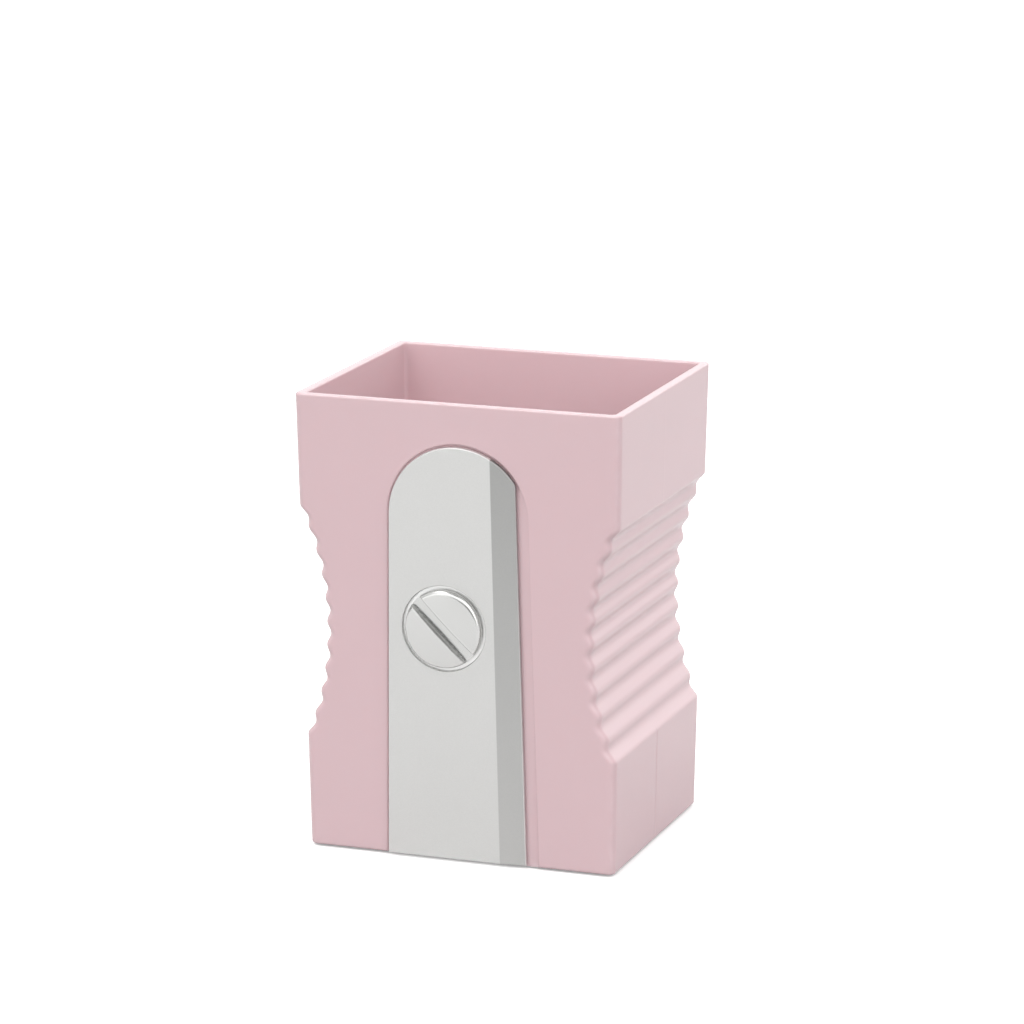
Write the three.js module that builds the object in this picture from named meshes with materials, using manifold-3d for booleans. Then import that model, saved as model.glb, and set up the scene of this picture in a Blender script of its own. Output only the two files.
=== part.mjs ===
// Pencil pot in the shape of an outsized block pencil sharpener.
// Units are millimetres, +Z is up, -Y is the front. The origin is the middle of the
// footprint, on the surface that the pot stands on.

import * as THREE from 'three';
import { mergeVertices } from 'three/addons/utils/BufferGeometryUtils.js';
import Module from 'manifold-3d';

const wasm = await Module();
wasm.setup();

// ---------------------------------------------------------------- driving dimensions

const GAP = 0.3; // clearance between pieces that touch
const PAST = 6; // how far a cutting shape runs past what it cuts

// Moulded shell. Heights in it are measured from its own bottom edge.
const SHELL_HEIGHT = 105;
const TOP_HALF_WIDTH = 38.3;
const TOP_HALF_DEPTH = 32.6;
const BOTTOM_HALF_WIDTH = 36.4;
const BOTTOM_HALF_DEPTH = 30.15;
const WALL = 2.1;
const EDGE_RADIUS = 1.7; // upright corners
const INNER_EDGE_RADIUS = 1.0;
const RIM_RADIUS = 0.5;
const BASE_EDGE_RADIUS = 0.6;

// Finger grip: ribs that run front to back across the waist of both side faces.
const RIB_PITCH = 5.35;
const RIB_DEPTH = 0.9;
const RIBS_EACH_WAY = 4; // ribs above and below the middle one
const WAIST_HEIGHT = 52.7; // the middle rib
const WAIST_INSET = 5.6; // how far the middle rib lies inside the flat side
const WAIST_RADIUS = 65.5; // of the arc through the rib crests, which ends at the flats
const GRIP_HALF_HEIGHT = (RIBS_EACH_WAY + 1) * RIB_PITCH;
const THIN_WALL = 1.5; // wall behind the bottom of each groove
const STEPS_PER_RIB = 6;

// Arched recess for the blade, open at the bottom of the front face.
const RECESS_DEPTH = 0.8;
const ARCH_CENTRE_X = 0.3;
const ARCH_CENTRE_HEIGHT = 79.4;
const ARCH_RADIUS = 16.5;
const LEFT_SPLAY = 1.2; // how much wider the recess is at its foot, on each side
const RIGHT_SPLAY = 1.9;

// Blade plate.
const BLADE_PROUD = 0.85; // above the front face
const BLADE_SIDE_GAP = 0.45;
const BLADE_RIGHT_TOP = [14.0, 87.6]; // upper and lower ends of its straight right edge
const BLADE_RIGHT_FOOT = [15.9, 0.25];
const BEVEL_TOP = [8.15, 96]; // line where the ground bevel starts
const BEVEL_FOOT = [9.8, 0];
const BEVEL_DROP = 0.6;

// Slotted screw, in the middle of the plate's flat.
const SCREW_X = -2.95;
const SCREW_HEIGHT = 53.9;
const HEAD_RADIUS = 8.98;
const SEAT_RADIUS = 9.85;
const HEAD_SHOULDER = 0.15; // straight side of the head above the plate
const HEAD_RIM_RADIUS = 1.05;
const HEAD_CROWN = 0.5; // rise of the domed top from its rim to its middle
const SLOT_WIDTH = 2.9;
const SLOT_DEPTH = 1.7;
const SLOT_ANGLE = -44.5; // degrees, from +X towards +Z
const SHANK_RADIUS = 2.5;
const SHANK_HOLE_RADIUS = 2.9;
const SHANK_TAIL = 4.8; // behind the front face
const SHANK_CHAMFER = 0.5;
const GROOVE_RADIUS = 1.9; // where the clip grips
const GROOVE_CLEARANCE = 0.2;

// Push-on clip that holds the screw from inside the pot.
const CLIP_BORE_RADIUS = 2.2;
const CLIP_RADIUS = 5.5;
const CLIP_THICKNESS = 0.5;
const CLIP_DISH = 0.5;
const CLIP_PRONGS = 6;
const CLIP_SLIT_WIDTH = 0.7;
const CLIP_SLIT_REACH = 3.9;

// Base plate, snapped in from below.
const REBATE_WALL = 1.1; // shell wall left around the base plate
const BASE_UNDERSIDE = 0.6;
const BASE_THICKNESS = 2.2;
const HOOK_WIDTH = 10;
const HOOK_THICKNESS = 1.3;
const HOOK_SPACING = 30;
const HOOK_HEIGHT = 10.4;
const BARB_HEIGHT = 7.9;
const BARB_REACH = 0.75;
const BARB_LIP = 0.3;
const POCKET_DEPTH = 1.0; // in the shell's wall, one for each barb
const POCKET_MARGIN = 0.5;

// Non-slip feet.
const FOOT_RADIUS = 5;
const FOOT_THICKNESS = 1.4;
const FOOT_LIFT = 0.5; // how far the feet hold the shell off the desk
const FOOT_ROUNDING = 0.3;
const FOOT_X = 26;
const FOOT_Y = 20;

// ---------------------------------------------------------------- materials

const PINK_PLASTIC = { color: 0xe0c2c6, roughness: 0.3, metalness: 0 };
const SATIN_SILVER = { color: 0xc9c9c6, roughness: 0.36, metalness: 0.9 };
const BRIGHT_SILVER = { color: 0xd2d2d0, roughness: 0.2, metalness: 1 };
const SPRING_STEEL = { color: 0x8d9196, roughness: 0.35, metalness: 1 };
const FOOT_RUBBER = { color: 0xe9e6e4, roughness: 0.75, metalness: 0 };

// ---------------------------------------------------------------- solids

// A closed geometry as a manifold solid.
function solid(geometry) {
  const bare = geometry.clone();
  for (const name of Object.keys(bare.attributes)) {
    if (name !== 'position') bare.deleteAttribute(name);
  }
  const merged = mergeVertices(bare, 1e-4);
  return new wasm.Manifold(new wasm.Mesh({
    numProp: 3,
    vertProperties: Float32Array.from(merged.attributes.position.array),
    triVerts: Uint32Array.from(merged.index.array),
  }));
}

// A manifold solid as a three.js geometry with flat shading.
function toGeometry(body) {
  const { numProp, vertProperties, triVerts } = body.getMesh();
  const places = new Float32Array(triVerts.length * 3);
  triVerts.forEach((vertex, i) => {
    for (let k = 0; k < 3; k += 1) places[3 * i + k] = vertProperties[numProp * vertex + k];
  });
  const geometry = new THREE.BufferGeometry();
  geometry.setAttribute('position', new THREE.BufferAttribute(places, 3));
  geometry.computeVertexNormals();
  return geometry;
}

// One named sub-part with a material of its own.
function piece(name, geometry, look) {
  const mesh = new THREE.Mesh(geometry, new THREE.MeshStandardMaterial(look));
  mesh.name = name;
  return mesh;
}

// Skin over a stack of rings, each a list of points in the same order, seen
// anticlockwise from above, with the lowest and the highest ring closed by a cap.
function loft(rings) {
  const count = rings[0].length;
  const places = rings.flat().flatMap((p) => [p.x, p.y, p.z]);
  const faces = [];
  for (let j = 0; j + 1 < rings.length; j += 1) {
    for (let i = 0; i < count; i += 1) {
      const next = (i + 1) % count;
      const a = j * count + i;
      const b = j * count + next;
      faces.push(a, b, b + count, a, b + count, a + count);
    }
  }
  const last = (rings.length - 1) * count;
  const outline = rings[0].map((p) => new THREE.Vector2(p.x, p.y));
  for (const [a, b, c] of THREE.ShapeUtils.triangulateShape(outline, [])) {
    faces.push(a, c, b, last + a, last + b, last + c);
  }
  const geometry = new THREE.BufferGeometry();
  geometry.setAttribute('position', new THREE.Float32BufferAttribute(places, 3));
  geometry.setIndex(faces);
  return geometry;
}

// Ring in the shape of a rectangle with round corners, at one height.
function roundedRing(halfWidth, halfDepth, radius, height, steps) {
  const corners = [[1, 1], [-1, 1], [-1, -1], [1, -1]];
  const ring = [];
  corners.forEach(([sx, sy], quarter) => {
    for (let i = 0; i <= steps; i += 1) {
      const angle = (Math.PI / 2) * (quarter + i / steps);
      ring.push(new THREE.Vector3(
        sx * (halfWidth - radius) + radius * Math.cos(angle),
        sy * (halfDepth - radius) + radius * Math.sin(angle),
        height,
      ));
    }
  });
  return ring;
}

// Upright slab with round corners.
function slab(halfWidth, halfDepth, radius, low, high) {
  return loft([low, high].map((z) => roundedRing(halfWidth, halfDepth, radius, z, 3)));
}

// Box with its corners at two points.
function block(low, high) {
  const size = high.map((v, i) => v - low[i]);
  const middle = high.map((v, i) => (v + low[i]) / 2);
  return new THREE.BoxGeometry(...size).translate(...middle);
}

// ---------------------------------------------------------------- shell profile

const halfWidthAt = (z) => THREE.MathUtils.lerp(BOTTOM_HALF_WIDTH, TOP_HALF_WIDTH, z / SHELL_HEIGHT);
const halfDepthAt = (z) => THREE.MathUtils.lerp(BOTTOM_HALF_DEPTH, TOP_HALF_DEPTH, z / SHELL_HEIGHT);

// How far the arc through the rib crests lies inside the flat side.
const crestInset = (z) => (
  WAIST_INSET - WAIST_RADIUS + Math.sqrt(WAIST_RADIUS ** 2 - (z - WAIST_HEIGHT) ** 2)
);

// How far the ribbed surface lies inside the flat side.
function gripInset(z) {
  const offset = z - WAIST_HEIGHT;
  if (Math.abs(offset) >= GRIP_HALF_HEIGHT) return 0;
  const wave = (1 - Math.cos((2 * Math.PI * offset) / RIB_PITCH)) / 2;
  return Math.max(0, crestInset(z) + RIB_DEPTH * wave);
}

// How far the smooth inner surface lies inside the flat side.
const innerInset = (z) => Math.max(WALL, crestInset(z) + RIB_DEPTH + THIN_WALL);

// Heights at even steps between two heights, both included.
function heights(low, high, steps) {
  return Array.from({ length: steps + 1 }, (_, i) => THREE.MathUtils.lerp(low, high, i / steps));
}

// Height and inset pairs of a quarter-round edge that ends at one height.
function roundEdge(end, radius, side, steps = 2) {
  return Array.from({ length: steps + 1 }, (_, i) => {
    const angle = (Math.PI / 2) * (i / steps);
    return { z: end - side * radius * (1 - Math.sin(angle)), inset: radius * (1 - Math.cos(angle)) };
  });
}

function outerSkin() {
  const ring = (z, inset = 0) => roundedRing(
    halfWidthAt(z) - gripInset(z) - inset,
    halfDepthAt(z) - inset,
    EDGE_RADIUS - inset,
    z,
    3,
  );
  const foot = roundEdge(0, BASE_EDGE_RADIUS, -1).reverse();
  const rim = roundEdge(SHELL_HEIGHT, RIM_RADIUS, 1);
  const low = WAIST_HEIGHT - GRIP_HALF_HEIGHT;
  const high = WAIST_HEIGHT + GRIP_HALF_HEIGHT;
  const ribSteps = 2 * (RIBS_EACH_WAY + 1) * STEPS_PER_RIB;
  return loft([
    ...foot.map(({ z, inset }) => ring(z, inset)),
    ...heights(low, high, ribSteps).map((z) => ring(z)),
    ...rim.map(({ z, inset }) => ring(z, inset)),
  ]);
}

// Space inside the shell, open at both ends.
function innerSkin() {
  const ring = (z, flare = 0) => roundedRing(
    halfWidthAt(z) - innerInset(z) + flare,
    halfDepthAt(z) - WALL + flare,
    INNER_EDGE_RADIUS + flare,
    z,
    2,
  );
  const bulge = WAIST_INSET + RIB_DEPTH + THIN_WALL - WALL;
  const reach = Math.sqrt(bulge * (2 * WAIST_RADIUS - bulge));
  const rim = roundEdge(SHELL_HEIGHT, RIM_RADIUS, 1);
  const mouth = ring(SHELL_HEIGHT, RIM_RADIUS).map((p) => p.clone().setZ(SHELL_HEIGHT + PAST));
  return loft([
    ring(-PAST),
    ...heights(WAIST_HEIGHT - reach, WAIST_HEIGHT + reach, 16).map((z) => ring(z)),
    ...rim.map(({ z, inset }) => ring(z, inset)),
    mouth,
  ]);
}

// ---------------------------------------------------------------- front face frame

// The front face leans forward. In this frame x runs right, y runs into the pot,
// z runs up the face, and y = 0 is the face itself.
const LEAN = Math.atan((TOP_HALF_DEPTH - BOTTOM_HALF_DEPTH) / SHELL_HEIGHT);
const FACE = new THREE.Matrix4()
  .makeTranslation(0, -BOTTOM_HALF_DEPTH, 0)
  .multiply(new THREE.Matrix4().makeRotationX(LEAN));

// Plate of one outline in x and z, between two depths behind the face.
function facePlate(shape, front, back, curveSegments = 12) {
  const geometry = new THREE.ExtrudeGeometry(shape, {
    depth: back - front,
    bevelEnabled: false,
    curveSegments,
  });
  return geometry.rotateX(Math.PI / 2).translate(0, back, 0);
}

// Arch with splayed legs, as the recess has it, taken in by a margin.
function archShape(margin, foot) {
  const radius = ARCH_RADIUS - margin;
  const rise = ARCH_CENTRE_HEIGHT - foot;
  const lean = rise / ARCH_CENTRE_HEIGHT;
  const rightAngle = -Math.atan(RIGHT_SPLAY / ARCH_CENTRE_HEIGHT);
  const leftAngle = Math.PI + Math.atan(LEFT_SPLAY / ARCH_CENTRE_HEIGHT);
  const shape = new THREE.Shape();
  shape.moveTo(ARCH_CENTRE_X - radius - LEFT_SPLAY * lean, foot);
  shape.lineTo(ARCH_CENTRE_X + radius + RIGHT_SPLAY * lean, foot);
  shape.absarc(ARCH_CENTRE_X, ARCH_CENTRE_HEIGHT, radius, rightAngle, leftAngle, false);
  return shape;
}

// Points of a lathe profile along an arc, given as radius and height.
function arcPoints(centre, radius, from, to, steps) {
  return Array.from({ length: steps + 1 }, (_, i) => {
    const angle = THREE.MathUtils.degToRad(THREE.MathUtils.lerp(from, to, i / steps));
    return [centre[0] + radius * Math.cos(angle), centre[1] + radius * Math.sin(angle)];
  });
}

// Round solid about the screw's axis; heights run outwards from the front face.
function turned(profile, segments) {
  const points = profile.map(([r, h]) => new THREE.Vector2(Math.max(r, 0), h));
  return new THREE.LatheGeometry(points, segments)
    .rotateX(Math.PI)
    .translate(SCREW_X, 0, SCREW_HEIGHT);
}

// Cutting shape of the hole for the screw's shank, in the front face frame.
function shankHole() {
  return turned(
    [[0, -PAST], [SHANK_HOLE_RADIUS, -PAST], [SHANK_HOLE_RADIUS, PAST], [0, PAST]],
    24,
  );
}

// ---------------------------------------------------------------- sub-parts

function bodyShell() {
  let body = solid(outerSkin()).subtract(solid(innerSkin()));
  const recess = facePlate(archShape(0, -PAST), -PAST, RECESS_DEPTH);
  body = body.subtract(solid(recess.applyMatrix4(FACE)));
  body = body.subtract(solid(shankHole().applyMatrix4(FACE)));
  const rebate = slab(
    BOTTOM_HALF_WIDTH - REBATE_WALL,
    BOTTOM_HALF_DEPTH - REBATE_WALL,
    INNER_EDGE_RADIUS,
    -PAST,
    BASE_UNDERSIDE + BASE_THICKNESS + GAP,
  );
  body = body.subtract(solid(rebate));
  const innerWall = BOTTOM_HALF_WIDTH - WALL;
  const halfPocket = HOOK_WIDTH / 2 + POCKET_MARGIN;
  for (const turn of [0, Math.PI]) {
    for (const along of [-HOOK_SPACING / 2, HOOK_SPACING / 2]) {
      const pocket = block(
        [innerWall - POCKET_DEPTH, along - halfPocket, BARB_HEIGHT - GAP],
        [innerWall + POCKET_DEPTH, along + halfPocket, HOOK_HEIGHT + POCKET_MARGIN],
      );
      body = body.subtract(solid(pocket.rotateZ(turn)));
    }
  }
  return piece('body_shell', toGeometry(body), PINK_PLASTIC);
}

function basePlate() {
  const top = BASE_UNDERSIDE + BASE_THICKNESS;
  let plate = solid(slab(
    BOTTOM_HALF_WIDTH - REBATE_WALL - GAP,
    BOTTOM_HALF_DEPTH - REBATE_WALL - GAP,
    INNER_EDGE_RADIUS,
    BASE_UNDERSIDE,
    top,
  ));
  const outer = BOTTOM_HALF_WIDTH - WALL - GAP;
  const hook = new THREE.Shape([
    new THREE.Vector2(outer - HOOK_THICKNESS, top - BASE_THICKNESS / 4),
    new THREE.Vector2(outer, top - BASE_THICKNESS / 4),
    new THREE.Vector2(outer, BARB_HEIGHT),
    new THREE.Vector2(outer + BARB_REACH, BARB_HEIGHT),
    new THREE.Vector2(outer + BARB_REACH, BARB_HEIGHT + BARB_LIP),
    new THREE.Vector2(outer - BARB_LIP, HOOK_HEIGHT),
    new THREE.Vector2(outer - HOOK_THICKNESS, HOOK_HEIGHT),
  ]);
  for (const turn of [0, Math.PI]) {
    for (const along of [-HOOK_SPACING / 2, HOOK_SPACING / 2]) {
      const shaped = new THREE.ExtrudeGeometry(hook, { depth: HOOK_WIDTH, bevelEnabled: false })
        .translate(0, 0, -HOOK_WIDTH / 2)
        .rotateX(Math.PI / 2)
        .translate(0, along, 0)
        .rotateZ(turn);
      plate = plate.add(solid(shaped));
    }
  }
  for (const x of [-FOOT_X, FOOT_X]) {
    for (const y of [-FOOT_Y, FOOT_Y]) {
      const depth = FOOT_THICKNESS - FOOT_LIFT + GAP - BASE_UNDERSIDE;
      const socket = new THREE.CylinderGeometry(FOOT_RADIUS + GAP, FOOT_RADIUS + GAP, 2 * depth, 32)
        .rotateX(Math.PI / 2)
        .translate(x, y, BASE_UNDERSIDE);
      plate = plate.subtract(solid(socket));
    }
  }
  return piece('base_plate', toGeometry(plate), PINK_PLASTIC);
}

function bladePlate() {
  const shape = archShape(BLADE_SIDE_GAP, BLADE_RIGHT_FOOT[1]);
  const back = RECESS_DEPTH - GAP;
  let plate = solid(facePlate(shape, -BLADE_PROUD, back, 20));

  // Straight right edge.
  const [topX, topZ] = BLADE_RIGHT_TOP;
  const [footX, footZ] = BLADE_RIGHT_FOOT;
  const slope = (footX - topX) / (footZ - topZ);
  const edgeAt = (z) => topX + slope * (z - topZ);
  const beyond = new THREE.Shape([
    new THREE.Vector2(edgeAt(-PAST), -PAST),
    new THREE.Vector2(TOP_HALF_WIDTH, -PAST),
    new THREE.Vector2(TOP_HALF_WIDTH, SHELL_HEIGHT),
    new THREE.Vector2(edgeAt(SHELL_HEIGHT), SHELL_HEIGHT),
  ]);
  plate = plate.subtract(solid(facePlate(beyond, -PAST, PAST)));

  // Bevel: a wedge that falls away from the bevel line to the right edge.
  const bevelSlope = (BEVEL_TOP[0] - BEVEL_FOOT[0]) / (BEVEL_TOP[1] - BEVEL_FOOT[1]);
  const lineAt = (z) => BEVEL_FOOT[0] + bevelSlope * z;
  const fall = BEVEL_DROP / (footX - BEVEL_FOOT[0]);
  const reach = footX - BEVEL_FOOT[0] + PAST;
  const wedgeRing = (z) => [
    new THREE.Vector3(lineAt(z), -BLADE_PROUD, z),
    new THREE.Vector3(lineAt(z), -BLADE_PROUD - PAST, z),
    new THREE.Vector3(lineAt(z) + reach, -BLADE_PROUD - PAST, z),
    new THREE.Vector3(lineAt(z) + reach, -BLADE_PROUD + fall * reach, z),
  ];
  plate = plate.subtract(solid(loft([wedgeRing(-PAST), wedgeRing(SHELL_HEIGHT)])));

  // Seat for the screw's head, and the hole for its shank.
  const seat = turned([[0, 0], [SEAT_RADIUS, 0], [SEAT_RADIUS, PAST], [0, PAST]], 48);
  plate = plate.subtract(solid(seat)).subtract(solid(shankHole()));
  return piece('blade_plate', toGeometry(plate).applyMatrix4(FACE), SATIN_SILVER);
}

function bladeScrew() {
  const shoulder = BLADE_PROUD + HEAD_SHOULDER;
  const rim = arcPoints([HEAD_RADIUS - HEAD_RIM_RADIUS, shoulder], HEAD_RIM_RADIUS, 0, 80, 4);
  const [domeRadius, domeStart] = rim[rim.length - 1];
  const dome = heights(0, 1, 4).map((t) => {
    const r = domeRadius * (1 - t);
    return [r, domeStart + HEAD_CROWN * (1 - (1 - t) ** 2)];
  });
  const clipFront = -WALL - GAP;
  const grooveBack = clipFront - CLIP_THICKNESS - CLIP_DISH - GROOVE_CLEARANCE;
  const grooveFront = clipFront + GROOVE_CLEARANCE;
  const profile = [
    [0, -SHANK_TAIL],
    [SHANK_RADIUS - SHANK_CHAMFER, -SHANK_TAIL],
    [SHANK_RADIUS, -SHANK_TAIL + SHANK_CHAMFER],
    [SHANK_RADIUS, grooveBack],
    [GROOVE_RADIUS, grooveBack],
    [GROOVE_RADIUS, grooveFront],
    [SHANK_RADIUS, grooveFront],
    [SHANK_RADIUS, GAP],
    [HEAD_RADIUS, GAP],
    ...rim,
    ...dome.slice(1),
  ];
  let screw = solid(turned(profile, 48));
  const crown = domeStart + HEAD_CROWN;
  const slot = new THREE.BoxGeometry(4 * HEAD_RADIUS, 2 * SLOT_DEPTH, SLOT_WIDTH)
    .rotateY(-THREE.MathUtils.degToRad(SLOT_ANGLE))
    .translate(SCREW_X, -crown, SCREW_HEIGHT);
  screw = screw.subtract(solid(slot));
  return piece('blade_screw', toGeometry(screw).applyMatrix4(FACE), BRIGHT_SILVER);
}

function screwClip() {
  const front = -WALL - GAP;
  let clip = solid(turned([
    [CLIP_BORE_RADIUS, front - CLIP_DISH],
    [CLIP_BORE_RADIUS, front - CLIP_DISH - CLIP_THICKNESS],
    [CLIP_RADIUS, front - CLIP_THICKNESS],
    [CLIP_RADIUS, front],
    [CLIP_BORE_RADIUS, front - CLIP_DISH],
  ], 36));
  for (let i = 0; i < CLIP_PRONGS; i += 1) {
    const slit = new THREE.BoxGeometry(CLIP_SLIT_REACH, 2 * PAST, CLIP_SLIT_WIDTH)
      .translate(CLIP_SLIT_REACH / 2, -front, 0)
      .rotateY((2 * Math.PI * i) / CLIP_PRONGS)
      .translate(SCREW_X, 0, SCREW_HEIGHT);
    clip = clip.subtract(solid(slit));
  }
  return piece('screw_clip', toGeometry(clip).applyMatrix4(FACE), SPRING_STEEL);
}

function foot(name, x, y) {
  const points = [
    [0, -FOOT_LIFT],
    [FOOT_RADIUS - FOOT_ROUNDING, -FOOT_LIFT],
    [FOOT_RADIUS, -FOOT_LIFT + FOOT_ROUNDING],
    [FOOT_RADIUS, FOOT_THICKNESS - FOOT_LIFT],
    [0, FOOT_THICKNESS - FOOT_LIFT],
  ].map(([r, z]) => new THREE.Vector2(r, z));
  const geometry = new THREE.LatheGeometry(points, 32).rotateX(Math.PI / 2);
  const mesh = piece(name, geometry, FOOT_RUBBER);
  mesh.position.set(x, y, 0);
  return mesh;
}

// ---------------------------------------------------------------- assembly

const group = new THREE.Group();
group.position.z = FOOT_LIFT;
group.add(bodyShell(), basePlate(), bladePlate());
for (const [row, y] of [['front', -FOOT_Y], ['back', FOOT_Y]]) {
  for (const [side, x] of [['left', -FOOT_X], ['right', FOOT_X]]) {
    group.add(foot(`foot_${row}_${side}`, x, y));
  }
}
const turningPieces = new THREE.Group();
turningPieces.add(bladeScrew(), screwClip());
group.add(turningPieces);

export default group;
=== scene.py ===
"""Looks of a pencil pot in the shape of an outsized block pencil sharpener.

Sizes in the classes are in millimetres, with heights from the shell's bottom edge,
and they become metres in the model's own frame when a mesh is made.
"""

import logging
import math
from collections.abc import Callable, Sequence
from dataclasses import dataclass
from enum import Enum

import bmesh
import bpy
from mathutils import Matrix, Vector


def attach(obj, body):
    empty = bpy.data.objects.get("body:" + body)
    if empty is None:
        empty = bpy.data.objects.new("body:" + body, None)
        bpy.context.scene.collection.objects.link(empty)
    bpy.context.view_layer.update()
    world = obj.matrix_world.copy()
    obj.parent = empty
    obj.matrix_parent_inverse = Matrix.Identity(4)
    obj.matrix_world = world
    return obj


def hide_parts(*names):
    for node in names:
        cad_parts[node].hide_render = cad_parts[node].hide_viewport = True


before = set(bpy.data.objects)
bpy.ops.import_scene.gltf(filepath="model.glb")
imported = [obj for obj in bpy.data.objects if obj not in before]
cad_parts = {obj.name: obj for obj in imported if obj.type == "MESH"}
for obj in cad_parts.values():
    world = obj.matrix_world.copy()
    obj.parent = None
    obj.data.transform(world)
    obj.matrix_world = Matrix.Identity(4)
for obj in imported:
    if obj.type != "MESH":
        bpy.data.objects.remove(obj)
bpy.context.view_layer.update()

LOG = logging.getLogger("pencil_pot")
MM = 0.001
GAP = 0.3  # clearance between pieces that touch
PAST = 6.0  # how far a cutting shape runs past what it cuts
LEAD = 0.05  # how far a rounded cutting shape starts outside the edge it rounds
FOOT_LIFT = 0.5  # how far the feet hold the shell off the desk
EDGE_ATTRIBUTE = "edge"  # 0 on a flat part, 1 on an exposed edge, where wear and a painted highlight go
PAINTED_SHADE_ATTRIBUTE = "painted_shade"  # 1 where shade is painted on the metal
GRIP_ATTRIBUTE = "grip"  # 1 on the outside of the shell, for the rib tree
SMOOTH_ANGLE = math.radians(35)
QUARTER_TURN = math.pi / 2
CORNERS = ((1, 1), (-1, 1), (-1, -1), (1, -1))  # signs of x and y, anticlockwise
SIDES = (-1, 1)
FOOT_ROWS = (("front", -20.0), ("back", 20.0))
FOOT_COLUMNS = (("left", -26.0), ("right", 26.0))

Ring = list[Vector]
Pairs = list[tuple[float, float]]
Colour = tuple[float, float, float]
Marks = dict[str, Callable[[Vector], float]]
Mesh = bmesh.types.BMesh
Object = bpy.types.Object
Material = bpy.types.Material
Tree = bpy.types.NodeTree
Plug = bpy.types.NodeSocket


class Cut(Enum):
    """What a second solid does to the first."""

    REMOVE = "DIFFERENCE"
    JOIN = "UNION"


class Body(Enum):
    """The bodies that pieces ride on."""

    POT = "pot"
    SCREW = "screw"


# ------------------------------------------------------------------ mesh helpers


def spread(low: float, high: float, steps: int) -> list[float]:
    """Gives evenly spaced numbers between two ends, with both ends."""
    return [low + (high - low) * i / steps for i in range(steps + 1)]


def share_left(distance: float, reach: float) -> float:
    """Gives 1 at no distance, falling to 0 at a reach and staying there."""
    return max(0.0, 1.0 - distance / reach)


def quarter(radius: float, steps: int) -> Pairs:
    """Gives a quarter round as pairs of inset and depth, from its upright side to its flat."""
    turns = [QUARTER_TURN * i / steps for i in range(steps + 1)]
    return [(radius * (1 - math.cos(a)), radius * (1 - math.sin(a))) for a in turns]


def polar(radius: float, turn: float, height: float = 0.0) -> Vector:
    """Gives a point from its distance from the z axis, its angle and its height."""
    return Vector((radius * math.cos(turn), radius * math.sin(turn), height))


def round_corners(
    half_width: float, half_depth: float, radius: float, z: float, steps: int
) -> list[Ring]:
    """Gives the points of a level rectangle's four round corners.

    Args:
        half_width: Half its size along x.
        half_depth: Half its size along y.
        radius: Radius of its corners.
        z: Its height.
        steps: Number of straight parts in each corner.

    Returns:
        The points of each corner, anticlockwise from above.
    """
    made = []
    for turn, (sx, sy) in enumerate(CORNERS):
        cx, cy = sx * (half_width - radius), sy * (half_depth - radius)
        angles = spread(QUARTER_TURN * turn, QUARTER_TURN * (turn + 1), steps)
        places = [(cx + radius * math.cos(a), cy + radius * math.sin(a)) for a in angles]
        made.append([Vector((x, y, z)) for x, y in places])
    return made


def skin(rings: Sequence[Ring], looped: bool = False) -> Mesh:
    """Makes a closed skin over rings that all have the same number of points.

    Args:
        rings: The rings in order.
        looped: Whether the last ring joins the first; if not, both ends are capped.

    Returns:
        The skin, with its faces outwards.
    """
    bm = bmesh.new()
    rows = [[bm.verts.new(p) for p in ring] for ring in rings]
    pairs = list(zip(rows, rows[1:]))
    if looped:
        pairs.append((rows[-1], rows[0]))
    else:
        bm.faces.new(rows[0])
        bm.faces.new(rows[-1])
    for lower, upper in pairs:
        join_rows(bm, lower, upper)
    bmesh.ops.recalc_face_normals(bm, faces=bm.faces)
    return bm


def join_rows(bm: Mesh, lower: Sequence, upper: Sequence) -> None:
    """Joins two closed rows of vertices with a band of faces."""
    for i in range(len(lower)):
        j = (i + 1) % len(lower)
        bm.faces.new((lower[i], lower[j], upper[j], upper[i]))


def lathe(profile: Pairs, segments: int) -> Mesh:
    """Turns a profile about the z axis.

    Args:
        profile: Pairs of radius and height; the ends may lie on the axis.
        segments: Number of flat parts round the axis.

    Returns:
        The closed solid.
    """
    tiny = 1e-4
    turns = [2 * math.pi * i / segments for i in range(segments)]
    bm = skin([[polar(max(radius, tiny), a, height) for a in turns] for radius, height in profile])
    bmesh.ops.remove_doubles(bm, verts=bm.verts, dist=2.5 * tiny)
    bmesh.ops.recalc_face_normals(bm, faces=bm.faces)
    return bm


def slice_mesh(bm: Mesh, place: Vector, normal: Vector, near: float = 0.0) -> None:
    """Splits a mesh's faces along a plane and keeps both sides.

    Args:
        bm: The mesh.
        place: A point of the plane.
        normal: The plane's normal.
        near: How close to the plane a vertex counts as on it.
    """
    everything = [*bm.verts, *bm.edges, *bm.faces]
    bmesh.ops.bisect_plane(bm, geom=everything, plane_co=place, plane_no=normal, dist=near)


def add_object(name: str, bm: Mesh) -> Object:
    """Puts a mesh in the scene as an object at the origin, and frees it."""
    mesh = bpy.data.meshes.new(name)
    bm.to_mesh(mesh)
    bm.free()
    made = bpy.data.objects.new(name, mesh)
    bpy.context.scene.collection.objects.link(made)
    return made


def to_object(name: str, bm: Mesh, place: Matrix | None = None) -> Object:
    """Turns a mesh in millimetres into an object in metres, unturned and unscaled.

    Args:
        name: Name of the object.
        bm: The mesh, which is freed.
        place: Where the mesh goes, in millimetres from the shell's bottom edge.

    Returns:
        The object, at the origin.
    """
    lift = Matrix.Translation((0, 0, FOOT_LIFT))
    bm.transform(Matrix.Scale(MM, 4) @ lift @ (place or Matrix.Identity(4)))
    return add_object(name, bm)


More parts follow.
